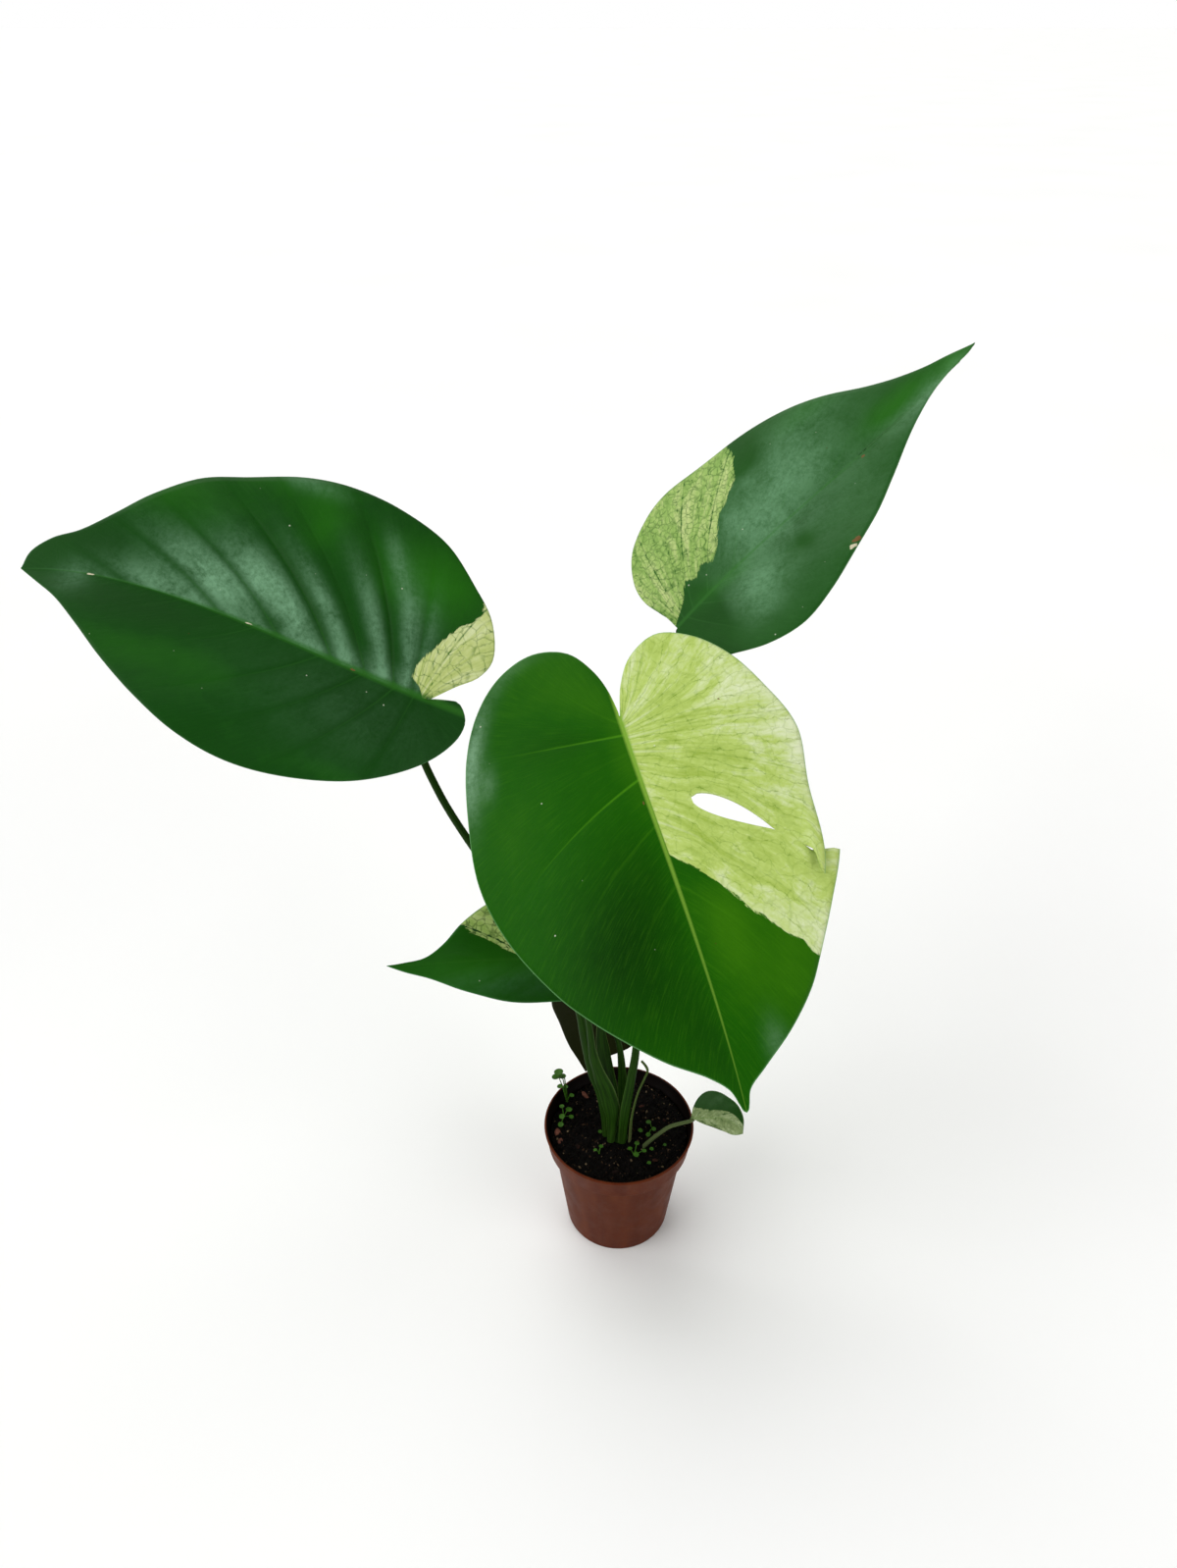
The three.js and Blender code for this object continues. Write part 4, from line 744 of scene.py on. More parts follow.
def leaf_material(name, looks, gloss):
    """Living leaf: a waxy cuticle over green tissue with a sector that has next to no chlorophyll.

    The cuticle gives a satin shine, and pale patches of painted sheen stand in for its reflections. Broad
    zones of painted light and shade lie over the green among the tissue's own lighter and deeper zones. The
    sector is cream and lime with a darker net of veins.
    """
    material, node = new_material(name)
    along, away, off_vein, spread, force, edge, reach, patch, tone_and_painted_shade, painted_sheen, scar, vein, plane, under = (
        node("Attribute", attribute_name=key).outputs["Vector" if key in ("vein", "plane") else "Fac"]
        for key in BLADE_MARKS)

    # Streaks run with the side veins, 2 mm wide and 14 mm long. Clouds are 14 mm across, mottles 2 mm.
    stretched = node("Mapping", vein, Scale=(0.5, 0.07, 1))
    streaks = node("TexNoise", stretched, Scale=1, Detail=6, Roughness=0.65, Distortion=0.4)
    clouds = node("TexNoise", plane, Scale=0.07, Detail=4, Roughness=0.6, Distortion=0.6)
    mottle = node("TexNoise", plane, Scale=0.5, Detail=5, Roughness=0.7)

    # The net of fine veins has meshes 1 to 5 mm wide. Second side veins stand 9 mm apart at the margin.
    bend = node("TexNoise", plane, Scale=0.3, Detail=3)
    shaken = node("VectorMath MULTIPLY", bend.outputs["Color"], (3.4, 3.4, 0))
    shaken = node("VectorMath ADD", plane, shaken)
    meshes = looks["cells"]
    net = node("TexVoronoi", shaken, Scale=meshes, feature="DISTANCE_TO_EDGE")
    net = node("MapRange", net, 0.1 * meshes, 0.34 * meshes, 1, 0)
    beat = node("Math MULTIPLY_ADD", clouds, 16, node("SeparateXYZ", vein))
    beat = node("Math MULTIPLY", node("Math PINGPONG", beat, 4.6), spread)
    second = node("MapRange", beat, 0.06, 0.36, 1, 0)

    # Main side veins thin out towards the margin, the midrib towards the tip.
    width = node("MapRange", reach, 0, 0.9, looks["vein_width"], 0.18)
    lateral = node("MapRange", node("Math DIVIDE", off_vein, width), 0.3, 1.4, 1, 0)
    fade = node("MapRange", reach, 0.05, 0.8, looks["ribs"], 0)
    ribs = node("Math MULTIPLY", node("Math MULTIPLY", lateral, fade), force)
    away = node("Math ABSOLUTE", away)
    width = node("MapRange", along, 0, 1, looks["midrib_width"], 0.22)
    midrib = node("MapRange", node("Math DIVIDE", away, width), 0.3, 1.1, looks["midrib"], 0)
    midrib = node("Math MULTIPLY", midrib, node("MapRange", along, 0.1, 1, 1, 0.3))

    # The sector's border follows the veins in small steps, but keeps straight along the midrib.
    jag = node("TexNoise", node("Mapping", vein, Scale=(0.5, 0.12, 1)), Scale=1, Detail=5, Roughness=0.75)
    room = node("MapRange", away, 1, 9, 0, 5)
    jag = node("Math MULTIPLY_ADD", node("Math SUBTRACT", jag, 0.5), room, patch)
    sector = node("MapRange", jag, -0.15, 0.2)

    # Green tissue goes from deep to light green, with faint clouds and streaks, in broad soft zones that are
    # partly the tissue's own colour and partly painted light and shade.
    tone = node("Math MULTIPLY_ADD", clouds, looks["clouds"], tone_and_painted_shade)
    tone = node("Math MULTIPLY_ADD", streaks, 0.16, tone)
    middle = looks["clouds"] / 2 + 0.08
    green = node("ValToRGB", node("MapRange", tone, middle - 1, middle + 1))
    set_ramp(green, zip((0, 0.52, 1), looks["green"]))
    # Short pale fibres stand along the side veins.
    fibres = node("TexNoise", node("Mapping", vein, Scale=(1.8, 0.09, 1)), Scale=1, Detail=3, Roughness=0.6)
    green = node("Mix RGBA", node("MapRange", fibres, 0.5, 0.8, 0, looks["faint"]), green, looks["vein"])

    # Painted sheen: pale, mottled patches on the pillows between the side veins stand in for reflections of
    # the cuticle, and keep off the grooves.
    pillow = node("MapRange", off_vein, 0.4, 3, looks["flat"])
    painted_sheen_mottle = node("Math MULTIPLY_ADD", streaks, 0.35, node("Math ADD", mottle, clouds))
    painted_sheen_mottle = node("Math MULTIPLY", node("MapRange", painted_sheen_mottle, 0.7, 1.35), painted_sheen)
    green = node("Mix RGBA", node("Math MULTIPLY", painted_sheen_mottle, pillow), green, looks["painted_sheen"])
    green = node("Mix RGBA", ribs, green, looks["vein"])

    # The sector: lime with cream clouds that run with the veins, and darker fine veins.
    pale = node("Mapping", vein, Scale=(0.09, 0.035, 1))
    pale = node("TexNoise", pale, Scale=1, Detail=7, Roughness=0.68, Distortion=0.8)
    blend = node("Math MULTIPLY_ADD", pale, 3.2, streaks)
    # The tones' zones, partly the tissue's own colour and partly painted light and shade, also lighten or
    # deepen the sector.
    blend = node("Math MULTIPLY_ADD", tone_and_painted_shade, 0.9, blend)
    blend = node("Math MULTIPLY_ADD", mottle, 0.8, blend)
    cream = node("ValToRGB", node("MapRange", blend, 1.7, 3.4))
    set_ramp(cream, zip((0, 0.45, 1), looks["cream"]))
    dark = node("MapRange", off_vein, 0.1, 0.5, 0.45, 0)
    dark = node("Math MULTIPLY", dark, node("MapRange", reach, 0.15, 0.45))
    dark = node("Math MAXIMUM", dark, node("Math MULTIPLY", second, looks["parallel"]))
    dark = node("Math MULTIPLY_ADD", net, 0.3, dark)
    dark = node("Math MULTIPLY", dark, node("MapRange", bend, 0.35, 0.6, 0.25))
    dark = node("Math MULTIPLY", dark, looks["net_strength"], use_clamp=True)
    cream = node("Mix RGBA", dark, cream, looks["net"])
    glow = node("Math MULTIPLY", node("MapRange", reach, 0.05, 0.32, 0.4, 0), lateral)
    cream = node("Mix RGBA", glow, cream, looks["cream"][2])

    skin = node("Mix RGBA", sector, green, cream)
    skin = node("Mix RGBA", midrib, skin, looks["rib"])
    # Dust and old scars: pale and brown specks under 1 mm, few of them in 8 mm cells.
    dots = node("TexVoronoi", plane, Scale=0.12)
    speck = node("MapRange", dots, 0.025, 0.05, 0.85, 0)
    draw = node("SeparateXYZ", dots.outputs["Color"]).outputs
    for axis, least, colour in (("X", 1 - looks["dust"], "#C4CDB4"), ("Y", 0.94, "#4A2E16")):
        picked = node("Math MULTIPLY", node("Math GREATER_THAN", draw[axis], least), speck)
        skin = node("Mix RGBA", picked, skin, colour)
    # Dead spots have ragged borders.
    ragged = node("Math MULTIPLY_ADD", mottle, 0.9, -0.45)
    for sign, colour in ((1, "#C2BCA0"), (-1, "#6A4E2C")):
        dead = node("MapRange", node("Math MULTIPLY_ADD", scar, sign, ragged), 0.4, 0.5)
        skin = node("Mix RGBA", dead, skin, colour)
    # A thin pale line where the blade ends, and a duller underside.
    skin = node("Mix RGBA", node("MapRange", edge, 0.1, 0.5, 0.6, 0), skin, looks["margin"])
    skin = node("Mix RGBA", node("Math MULTIPLY", under, looks["under_share"]), skin, looks["under"])

    dull = node("MapRange", mottle, 0.3, 0.7, gloss, gloss + 0.14)
    dull = node("Math MULTIPLY_ADD", under, 0.2, dull)
    grain = node("Math MULTIPLY_ADD", net, -0.35, mottle)
    grain = node("Math MULTIPLY_ADD", streaks, 0.8, grain)
    return surfaced(material, node, skin, grain, 0.4, 0.14, Roughness=dull, IOR=LIVING_IOR,
                    Specular_IOR_Level=looks["shine"])


def stalk_points(spec):
    """The stalk's route, with the neck that meets the blade's keel square on."""
    route = [np.array(p, float) for p in spec["route"]]
    if "into" in spec:
        blade = Blade(LEAVES[spec["into"]])
        seat = BLADE_THICKNESS / 2 + blade.spec["keel"] + GAP
        route += [blade.base - below * blade.face for below in (spec["neck"], seat)]
    return route


def stalk_tree():
    """Geometry nodes that sweep a section with an open channel along a stalk's route."""
    tree, node, given = new_tree("stalk along route", Sides="Int")
    route, section = marked_curves(node, given, "centre", 0.001)
    swept = node("CurveToMesh", route, section, Fill_Caps=True)
    centre, wide, deep = (node("InputNamedAttribute FLOAT_VECTOR", key) for key in ("centre", "wide", "deep"))
    turn, channel = (node("InputNamedAttribute FLOAT", key) for key in ("turn", "channel"))
    sine = node("Math SINE", turn)
    cut = node("Math MULTIPLY", channel, node("Math GREATER_THAN", sine, 0))
    depth = node("Math MULTIPLY", sine, node("Math MULTIPLY_ADD", cut, -2, 1))
    across = node("VectorMath SCALE", wide, node("Math COSINE", turn))
    offset = node("VectorMath ADD", across, node("VectorMath SCALE", deep, depth))
    end_tree(node, given, swept, node("VectorMath ADD", centre, offset))
    return tree


def build_stalk(name, spec, tree, sides, finish):
    """One stalk: its route carries the section's half width, half depth and channel."""
    steps = max(40, 22 * len(spec["route"]))
    places = np.linspace(0, 1, steps + 1)
    centre, length = spline(stalk_points(spec), places)
    tangent = np.gradient(centre, axis=0)
    tangent /= np.linalg.norm(tangent, axis=1)[:, None]
    wide = np.cross(tangent, np.array(spec["inward"], float))
    wide /= np.linalg.norm(wide, axis=1)[:, None]
    table = np.array(spec["sections"], float)
    k = np.clip(np.searchsorted(table[:, 0], places, side="right") - 1, 0, len(table) - 2)
    mix = smooth_step((places - table[k, 0]) / (table[k + 1, 0] - table[k, 0]))[:, None]
    sections = table[k] + mix * (table[k + 1] - table[k])
    piece = new_object(name, centre, edges=[(i, i + 1) for i in range(steps)])
    mark(piece, wide=wide * sections[:, 1:2] / 2 * MM, channel=sections[:, 3], run=places * length,
         deep=np.cross(wide, tangent) * sections[:, 2:3] / 2 * MM)
    grown(piece, tree, Sides=sides, Finish=finish)
    outward_faces(piece)
    return piece


def stalk_material(name, deep, pale, foot, rough, foot_share=0.35):
    """Living stalk: fine lengthwise fibres under a satin skin, paler at the foot and the sheath's edges.

    The drying sheath has the same fibres under a duller skin.
    """
    material, node = new_material(name)
    turn, run, channel = (node("Attribute", attribute_name=key).outputs["Fac"]
                          for key in ("turn", "run", "channel"))
    # Fibres about 0.4 mm apart round the stalk and 20 mm long.
    space = node("Mapping", node("CombineXYZ", turn, run), Scale=(4, 0.05, 1))
    fibres = node("TexNoise", space, Scale=1, Detail=3, Roughness=0.6)
    skin = node("Mix RGBA", node("MapRange", fibres, 0.35, 0.7, 0, 0.6), deep, pale)
    # The foot is paler, and the edges of the open sheath are thin and yellowish.
    skin = node("Mix RGBA", node("MapRange", run, 0, 14, foot_share, 0), skin, foot)
    side = node("Math ABSOLUTE", node("Math COSINE", turn))
    edge = node("Math MULTIPLY", node("MapRange", side, 0.93, 1), channel)
    skin = node("Mix RGBA", edge, skin, foot)
    return surfaced(material, node, skin, fibres, 0.5, 0.15, Roughness=rough, IOR=LIVING_IOR,
                    Specular_IOR_Level=0.07)


def pot_profile():
    """Radius and height round the pot's wall, from the middle of its underside to that of its floor."""
    collar_foot = POT_HEIGHT - COLLAR_HEIGHT
    inner = BODY_TOP_RADIUS - WALL
    return [(0, 0), (BASE_RADIUS - 0.9, 0), (BASE_RADIUS - 0.3, 0.25), (BASE_RADIUS, 0.9),
            (BODY_TOP_RADIUS, collar_foot - 1), (BODY_TOP_RADIUS + 0.5, collar_foot - 0.6),
            (COLLAR_FOOT_RADIUS - 0.3, collar_foot - 0.15), (COLLAR_FOOT_RADIUS, collar_foot + 0.4),
            (RIM_RADIUS - 0.4, POT_HEIGHT - 1.5), (RIM_RADIUS - 0.1, POT_HEIGHT - 1.2),
            (RIM_RADIUS, POT_HEIGHT - 0.8), (RIM_RADIUS - 0.05, POT_HEIGHT - 0.35),
            (RIM_RADIUS - 0.3, POT_HEIGHT - 0.05), (RIM_RADIUS - 0.65, POT_HEIGHT),
            (RIM_RADIUS - 1, POT_HEIGHT - 0.1), (RIM_RADIUS - 1.3, POT_HEIGHT - 0.6),
            (COLLAR_FOOT_RADIUS - WALL, collar_foot + 0.8), (inner, collar_foot - 0.2),
            (BASE_RADIUS - WALL, FLOOR + 0.9), (BASE_RADIUS - WALL - 0.8, FLOOR), (0, FLOOR)]


def turned_tree():
    """Geometry nodes that turn a profile round the upright axis."""
    tree, node, given = new_tree("turned wall", Sides="Int")
    profile, path = marked_curves(node, given, "spot", 0.01)
    spot, angle = node("InputNamedAttribute FLOAT_VECTOR", "spot"), node("InputNamedAttribute FLOAT", "turn")
    swung = node("VectorRotate", spot, Angle=angle, rotation_type="Z_AXIS")
    end_tree(node, given, node("CurveToMesh", path, profile), swung)
    return tree


def pot_material():
    """Polypropylene, injection moulded: a satin brown skin with faint flow marks and dry water stains, and an
    inner wall painted near black as shade.
    """
    material, node = new_material("moulded brown polypropylene")
    space = node("TexCoord").outputs["Object"]
    # Flow marks run up the wall: about 6 mm apart round it and 60 mm long.
    flow = node("TexNoise", node("Mapping", space, Scale=(160, 160, 18)), Scale=1, Detail=3)
    # Water stains are about 11 mm across.
    stain = node("TexNoise", space, Scale=90, Detail=5, Roughness=0.65)
    skin = node("Mix RGBA", node("MapRange", flow, 0.3, 0.7), "#4B1D0A", "#5B2A14")
    skin = node("Mix RGBA", node("MapRange", stain, 0.58, 0.8, 0, 0.3), skin, "#784A30")
    # Painted shade: the inner wall is near black, standing in for the shade inside the pot.
    inside = node("Attribute", attribute_name="inside").outputs["Fac"]
    skin = node("Mix RGBA", node("Math MULTIPLY", inside, 0.99), skin, "#060302")
    dull = node("MapRange", stain, 0.3, 0.8, 0.42, 0.66)
    return surfaced(material, node, skin, stain, 0.25, 0.1, Roughness=dull, IOR=1.49,
                    Specular_IOR_Level=0.05)


def peat_material(name, tones, rough):
    """Moist peat mix: crumbs from near black to red-brown bark, each with its own tone."""
    material, node = new_material(name)
    ramp = node("ValToRGB", node("Attribute", attribute_name="tone").outputs["Fac"])
    set_ramp(ramp, tones)
    # Grit is about 1 mm across, with finer grains in it.
    grit = node("TexNoise", node("TexCoord").outputs["Object"], Scale=900, Detail=4, Roughness=0.7)
    skin = node("Mix RGBA", node("MapRange", grit, 0.3, 0.75, 0.75, 0), ramp, "#050302")
    return surfaced(material, node, skin, grit, 0.9, 0.3, Roughness=rough, Specular_IOR_Level=0.1)


def clouded_material(name, scale, detail, dark, light, **finish):
    """A matte skin with soft clouds between two close colours."""
    material, node = new_material(name)
    cloud = node("TexNoise", node("TexCoord").outputs["Object"], Scale=scale, Detail=detail)
    return surfaced(material, node, node("Mix RGBA", cloud, dark, light), **finish)


def crumb_tree():
    """Geometry nodes that strew angular crumbs over the top of a piece."""
    tree, node, given = new_tree("strewn crumbs", Density="Float", Smallest="Float", Largest="Float",
                                 Seed="Int")
    seed = given["Seed"]
    upward = node("SeparateXYZ", node("InputNormal")).outputs["Z"]
    points = node("DistributePointsOnFaces", given["Geometry"], node("Compare GREATER_THAN", upward, 0.3),
                  Density=given["Density"], Seed=seed)
    spin = node("RandomValue FLOAT_VECTOR", (0, 0, 0), (6.28, 6.28, 6.28), Seed=seed)
    size = node("RandomValue FLOAT", given["Smallest"], given["Largest"], Seed=seed)
    shape = node("RandomValue FLOAT_VECTOR", (0.6, 0.4, 0.3), (1.3, 0.9, 0.7), Seed=seed)
    ball = node("MeshIcoSphere", Radius=0.5, Subdivisions=1)
    strewn = node("InstanceOnPoints", points, Instance=ball, Rotation=spin,
                  Scale=node("VectorMath SCALE", shape, size))
    tone = node("RandomValue FLOAT", 0, 1, Seed=11)
    toned = node("StoreNamedAttribute FLOAT", strewn, Name="tone", Value=tone, domain="INSTANCE")
    # Knocks in the crumbs' sides are about 0.7 mm across.
    rough = node("TexNoise", node("InputPosition"), Scale=1400, Detail=1).outputs["Color"]
    shift = node("VectorMath SCALE", node("VectorMath SUBTRACT", rough, (0.5, 0.5, 0.5)), given["Smallest"])
    shaped = node("SetPosition", node("RealizeInstances", toned), Offset=shift)
    node("GroupOutput", node("SetMaterial", shaped, Material=given["Finish"]))
    return tree


def build_soil():
    """The plug of peat: a finely lumpy top on plain sides."""
    rings, sides = 46, 120
    points = [(0, 0, soil_height(0, 0))]
    for ring in range(1, rings + 1):
        radius = SOIL_RADIUS * ring / rings
        sunk = 0.5 * smooth_step((radius - 0.93 * SOIL_RADIUS) / (0.07 * SOIL_RADIUS))
        for x, y in circle(sides):
            x, y = radius * x, radius * y
            fine = noise.fractal(Vector((x, y, 0)) * 0.35, 0.7, 2.1, 4)
            points.append((x, y, soil_height(x, y) + 0.75 * fine - float(sunk)))
    foot = [(BODY_TOP_RADIUS - 1.3, POT_HEIGHT - COLLAR_HEIGHT - 0.4), (BASE_RADIUS - 1.3, FLOOR + 1.5),
            (BASE_RADIUS - 2.2, FLOOR + GAP)]
    points += [(radius * x, radius * y, z) for radius, z in foot for x, y in circle(sides)]
    rings += len(foot)
    top = [(0, 1 + k, 1 + (k + 1) % sides) for k in range(sides)]
    under = [1 + (rings - 1) * sides + k for k in reversed(range(sides))]
    piece = new_object("soil_plug", points, [*top, *tube(1, rings, sides), under], smooth=True)
    mark(piece, tone=[0.12 + 0.25 * abs(noise.noise(Vector(p) * 0.6)) for p in points])
    return piece


def build_chips():
    """Flat flakes of bark, bedded in the soil."""
    draw = random.Random(5)
    work = bmesh.new()
    tones = []
    for x, y, length, turn, light in CHIPS:
        flake = bmesh.ops.create_icosphere(work, subdivisions=2, radius=0.5)["verts"]
        width, depth = length * draw.uniform(0.45, 0.65), length * draw.uniform(0.22, 0.34)
        place = (Matrix.Translation((x, y, soil_height(x, y) + 0.2 * depth))
                 @ Matrix.Rotation(math.radians(turn), 4, "Z")
                 @ Matrix.Rotation(draw.uniform(-0.4, 0.4), 4, "X"))
        tones += [light] * len(flake)
        for vertex in flake:
            rough = 1 + 0.35 * noise.noise(vertex.co * 4 + Vector((x, y, 0)))
            vertex.co = place @ Vector((vertex.co.x * length * rough, vertex.co.y * width * rough,
                                        vertex.co.z * depth * rough))
    for vertex in work.verts:
        vertex.co *= MM
    mesh = bpy.data.meshes.new("bark_chips")
    work.to_mesh(mesh)
    work.free()
    piece = add_object("bark_chips", mesh)
    mark(piece, tone=[tone + 0.3 * noise.noise(v.co * 300) for tone, v in zip(tones, mesh.vertices)])
    return piece


def add_leaflet(points, faces, place, length, width, cup):
    """Adds one small round leaflet, a cupped disc with two faces, at a matrix in millimetres."""
    around, rings, skin = 12, 3, 0.08
    for upper in (1, -1):
        start = len(points)
        points.append(place @ Vector((0.5 * length, 0, skin * upper)))
        for r in (ring / rings for ring in range(1, rings + 1)):
            z = cup * r * r + (skin * upper if r < 1 else 0)
            points += [place @ Vector((0.5 * length * (1 - r * x), 0.5 * width * r * y, z))
                       for x, y in circle(around)]
        made = [(start, start + 1 + k, start + 1 + (k + 1) % around) for k in range(around)]
        made += tube(start + 1, rings, around)
        faces += made if upper < 0 else [face[::-1] for face in made]


def build_seedling(name, *plants):
    """Weed seedlings: from each root, a thin stalk to each of its small round leaves."""
    points, faces = [], []
    sides, rings = 6, 12
    for x, y, lean_x, lean_y, height, radius in [(x, y, *leaf) for x, y, leaves in plants for leaf in leaves]:
        ground = soil_height(x, y)
        route = [(x, y, ground - 2), (x, y, ground),
                 (x + 0.5 * lean_x, y + 0.5 * lean_y, ground + 0.6 * height),
                 (x + lean_x, y + lean_y, ground + height)]
        centre, _ = spline(route, np.linspace(0, 1, rings))
        start = len(points)
        for k, spot in enumerate(centre):
            thick = 0.4 - 0.2 * k / rings
            points += [Vector((spot[0] + thick * i, spot[1] + thick * j, spot[2])) for i, j in circle(sides)]
        faces += [quad[:1] + quad[:0:-1] for quad in tube(start, rings, sides)]
        faces.append(tuple(start + j for j in reversed(range(sides))))
        faces.append(tuple(len(points) - sides + j for j in range(sides)))
        place = (Matrix.Translation(Vector(centre[-1]))
                 @ Matrix.Rotation(math.atan2(lean_y, lean_x), 4, "Z") @ Matrix.Rotation(0.15, 4, "Y")
                 @ Matrix.Translation((-0.35 * radius, 0, 0)))
        add_leaflet(points, faces, place, 2 * radius, 1.9 * radius, 0.2 * radius)
    return new_object(name, points, faces, smooth=True)


class AroidLooks(bpy.types.PropertyGroup):
    """Sizes and colours that a user would change."""

    stalk_sides: bpy.props.IntProperty(name="Stalk sides", description="Points round a stalk's section",
                                       default=STALK_SIDES, min=8, max=64)
    leaf_gloss: bpy.props.FloatProperty(name="Leaf roughness", description="Roughness of the waxy blades",
                                        default=0.4, min=0.1, max=1, subtype="FACTOR")
    crumb_density: bpy.props.FloatProperty(name="Crumbs", description="Crumbs for each square metre of soil",
                                           default=900000, min=0)
    crumb_size: bpy.props.FloatProperty(name="Crumb size", description="Length of the largest crumbs",
                                        default=2 * MM, min=0, unit="LENGTH", precision=4)
    floor_size: bpy.props.FloatProperty(name="Floor", description="Width of the studio floor",
                                        default=80, min=1, unit="LENGTH")
    zenith: bpy.props.FloatProperty(name="Overhead light", description="Strength of the sky overhead",
                                    default=0.3, min=0, max=2)
    sky: bpy.props.FloatVectorProperty(name="Sky", description="Colour of the even studio light",
                                       default=linear("#FFFFFF")[:3], size=3, subtype="COLOR", min=0, max=1)


class AROID_OT_leaves(bpy.types.Operator):
    """Draw the six leaf blades with their veins and cream sectors"""

    bl_idname = "aroid.leaves"
    bl_label = "Leaves"

    def execute(self, context):
        for name, spec in LEAVES.items():
            material = leaf_material("waxy living leaf, " + name, spec, context.scene.aroid_looks.leaf_gloss)
            settle(Blade(spec).build("blade_" + name), material, spec["slot"], "leaf_" + name)
        return {"FINISHED"}


class AROID_OT_stalks(bpy.types.Operator):
    """Draw the stem, the sheathed petioles and the dry sheath"""

    bl_idname = "aroid.stalks"
    bl_label = "Stalks"

    def execute(self, context):
        tree, sides = stalk_tree(), context.scene.aroid_looks.stalk_sides
        finishes = {slot: stalk_material(*looks) for slot, looks in STALK_LOOKS.items()}
        for name, spec in STALKS.items():
            slot = spec.get("slot", "petiole")
            settle(build_stalk("stalk_" + name, spec, tree, sides, finishes[slot]), None, slot, name)
        return {"FINISHED"}


class AROID_OT_pot(bpy.types.Operator):
    """Turn the moulded nursery pot and cut its drain holes"""

    bl_idname = "aroid.pot"
    bl_label = "Pot"

    def execute(self, context):
        profile = pot_profile()
        piece = new_object("nursery_pot", [(r, 0, z) for r, z in profile],
                           edges=[(k, k + 1) for k in range(len(profile) - 1)])
        crest = profile.index(max(profile, key=lambda point: point[1]))
        mark(piece, inside=[float(k > crest) for k in range(len(profile))])
        grown(piece, turned_tree(), Sides=POT_SIDES, Finish=pot_material())
        outward_faces(piece)
        drill = bmesh.new()
        for x, y in circle(DRAIN_COUNT):
            place = Matrix.Translation(Vector((x, y, 0)) * DRAIN_CIRCLE * MM)
            bmesh.ops.create_cone(drill, cap_ends=True, segments=32, radius1=DRAIN_RADIUS * MM,
                                  radius2=DRAIN_RADIUS * MM, depth=4 * FLOOR * MM, matrix=place)
        bits = bpy.data.meshes.new("drain drills")
        drill.to_mesh(bits)
        drill.free()
        cutter = add_object("drain drills", bits)
        piece.modifiers.new("drain holes", "BOOLEAN").object = cutter
        applied(piece)
        bpy.data.objects.remove(cutter)
        settle(piece, None, "pot_plastic", "pot")
        return {"FINISHED"}


class AROID_OT_soil(bpy.types.Operator):
    """Fill the pot with peat, crumbs and bark chips"""

    bl_idname = "aroid.soil"
    bl_label = "Soil"

    def execute(self, context):
        looks = context.scene.aroid_looks
        soil = build_soil()
        tree = crumb_tree()
        crumbs = add_object("soil_crumbs", soil.data.copy())
        grown(crumbs, tree, Density=looks.crumb_density, Smallest=0.5 * MM, Largest=looks.crumb_size, Seed=3,
              Finish=peat_material("crumbed peat mix", CRUMB_TONES, 0.9))
        settle(soil, peat_material("moist peat", PEAT_TONES, 0.92), "peat_mix", "soil")
        settle(crumbs, None, "peat_mix")
        settle(build_chips(), peat_material("red-brown bark", BARK_TONES, 0.85), "peat_mix")
        return {"FINISHED"}


class AROID_OT_seedlings(bpy.types.Operator):
    """Draw the weed seedlings that stand in the soil"""

    bl_idname = "aroid.seedlings"
    bl_label = "Seedlings"

    def execute(self, context):
        # Tender weed leaf: thin soft tissue, matte and mid-green, with clouds about 2 mm across.
        material = clouded_material("tender seedling leaf", 450, 3, "#1C400A", "#48781E",
                                    Specular_IOR_Level=0.15, Roughness=0.55)
        for name, plant in SEEDLINGS.items():
            settle(build_seedling("weed_" + name, plant), material, "seedling", name)
        lone = [(x, y, [(0.3, -0.3, 1.4 * radius, radius)]) for x, y, radius in LONE_LEAVES]
        settle(build_seedling("weed_lone_leaves", *lone), material, "seedling")
        return {"FINISHED"}


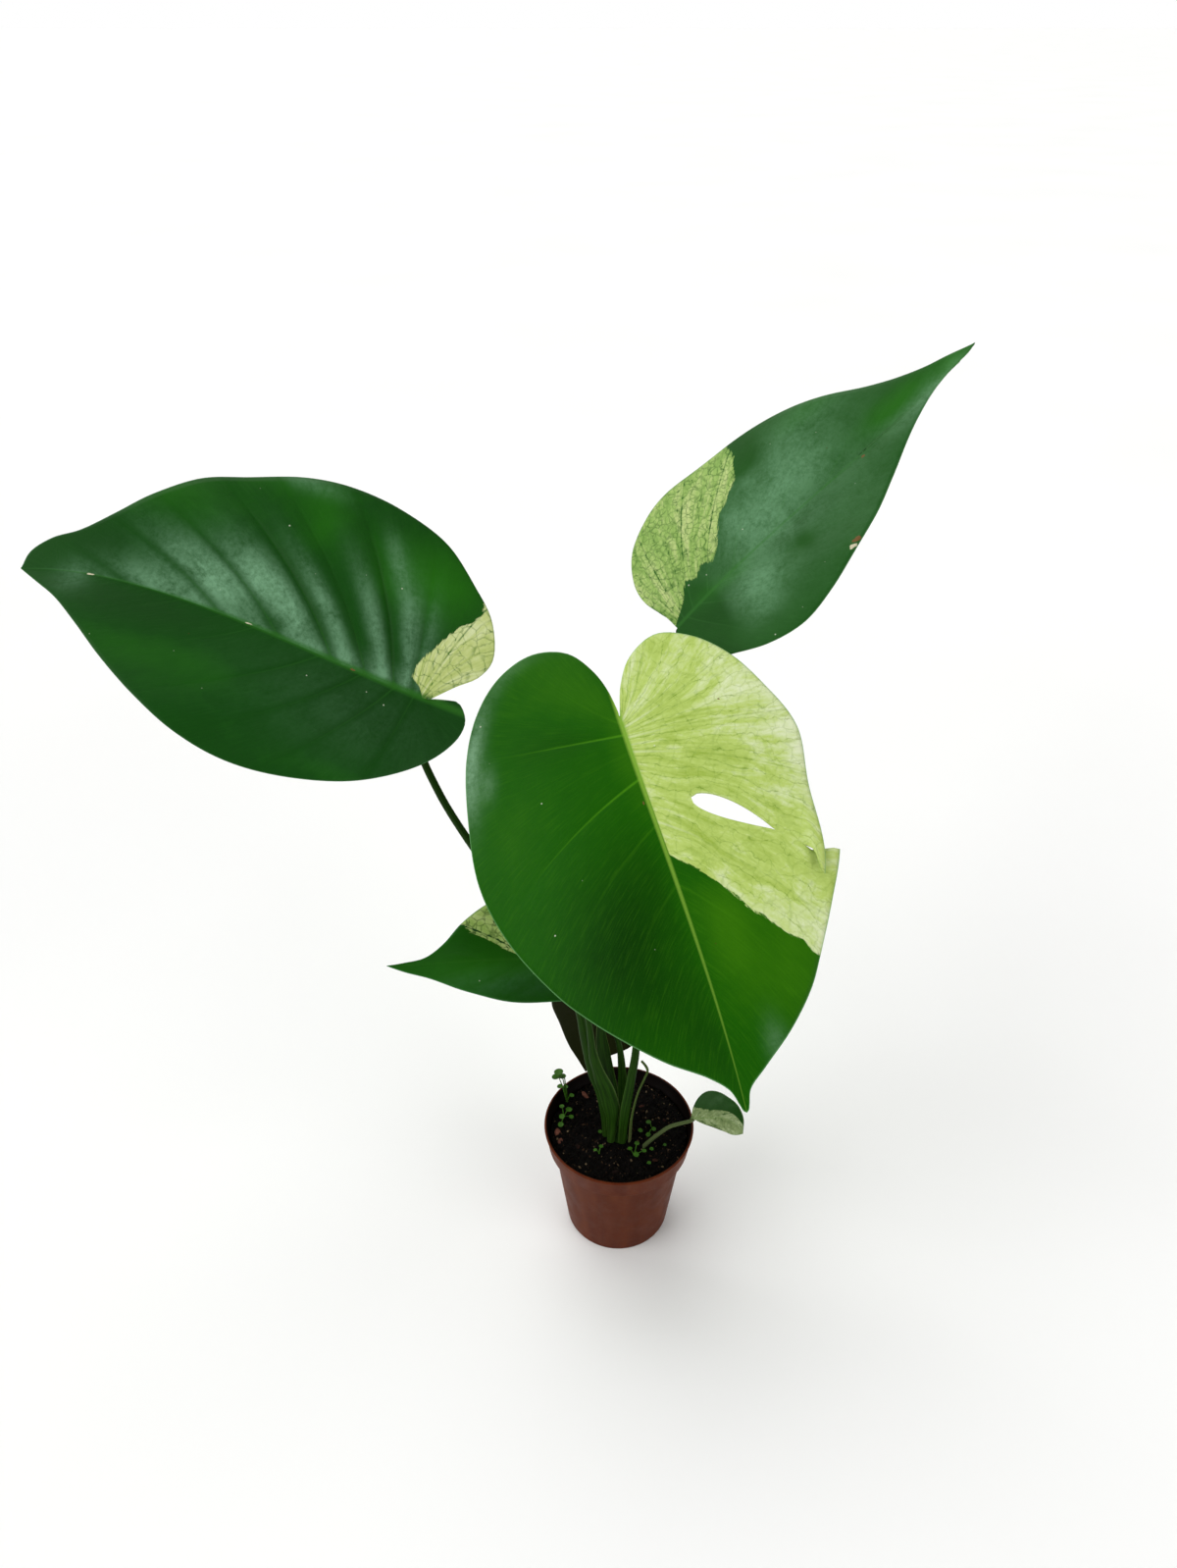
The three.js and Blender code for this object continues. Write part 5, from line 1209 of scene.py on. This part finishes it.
class AROID_OT_stage(bpy.types.Operator):
    """Set the pale floor, the soft studio light and the camera"""

    bl_idname = "aroid.stage"
    bl_label = "Stage"

    def execute(self, context):
        scene = context.scene
        looks = scene.aroid_looks
        half = looks.floor_size / 2 / MM
        floor = new_object("floor", [(-half, -half, 0), (half, -half, 0), (half, half, 0), (-half, half, 0)],
                           [(0, 1, 2, 3)])
        # Matt paint, rolled: next to white and without shine, with clouds about 0.3 m across.
        paint = clouded_material("pale studio floor", 3, 2, "#F4F4F2", "#FAFAF9", Roughness=0.9)
        floor.data.materials.append(paint)
        world = bpy.data.worlds.new("even studio light")
        world.use_nodes = True
        node = partial(add_node, world.node_tree)
        sky = world.node_tree.nodes["Background"]
        sky.inputs["Color"].default_value = (*looks.sky, 1)
        upward = node("SeparateXYZ", node("TexCoord")).outputs["Z"]
        shade = node("MapRange", upward, 0.02, 0.25, 1, looks.zenith)
        world.node_tree.links.new(shade.outputs[0], sky.inputs["Strength"])
        scene.world = world
        for name, towards, spread, power in SOFT_LIGHTS:
            lamp = bpy.data.lights.new(name, "SUN")
            lamp.angle, lamp.energy = math.radians(spread), power
            light = add_object(name, lamp)
            light.location = Vector(towards)
            light.rotation_euler = Vector(towards).to_track_quat("Z", "Y").to_euler()
        lens = bpy.data.cameras.new("photo camera")
        lens.sensor_width = SENSOR
        lens.lens = SENSOR * FOCAL_PIXELS / PHOTO_HEIGHT
        camera = scene.camera = add_object("photo camera", lens)
        camera.location = Vector(CAMERA_PLACE) * MM
        camera.rotation_euler = (math.radians(90 - CAMERA_TILT), 0, 0)
        scene.view_settings.view_transform = "Standard"
        return {"FINISHED"}


class AROID_PT_panel(bpy.types.Panel):
    """Lists the steps that build the plant"""

    bl_idname = "AROID_PT_panel"
    bl_label = "Potted aroid"
    bl_space_type = "VIEW_3D"
    bl_region_type = "UI"
    bl_category = "Potted aroid"

    def draw(self, context):
        looks = context.scene.aroid_looks
        for name in AroidLooks.__annotations__:
            self.layout.prop(looks, name)
        for step in STEPS:
            self.layout.operator(step.bl_idname)


STEPS = (AROID_OT_stage, AROID_OT_leaves, AROID_OT_stalks, AROID_OT_pot, AROID_OT_soil, AROID_OT_seedlings)
CLASSES = (AroidLooks, *STEPS, AROID_PT_panel)


def register():
    for kind in CLASSES:
        bpy.utils.register_class(kind)
    bpy.types.Scene.aroid_looks = bpy.props.PointerProperty(type=AroidLooks)


def unregister():
    del bpy.types.Scene.aroid_looks
    for kind in reversed(CLASSES):
        bpy.utils.unregister_class(kind)


def main():
    register()
    for step in STEPS:
        group, name = step.bl_idname.split(".")
        getattr(getattr(bpy.ops, group), name)()


if __name__ == "__main__":
    main()
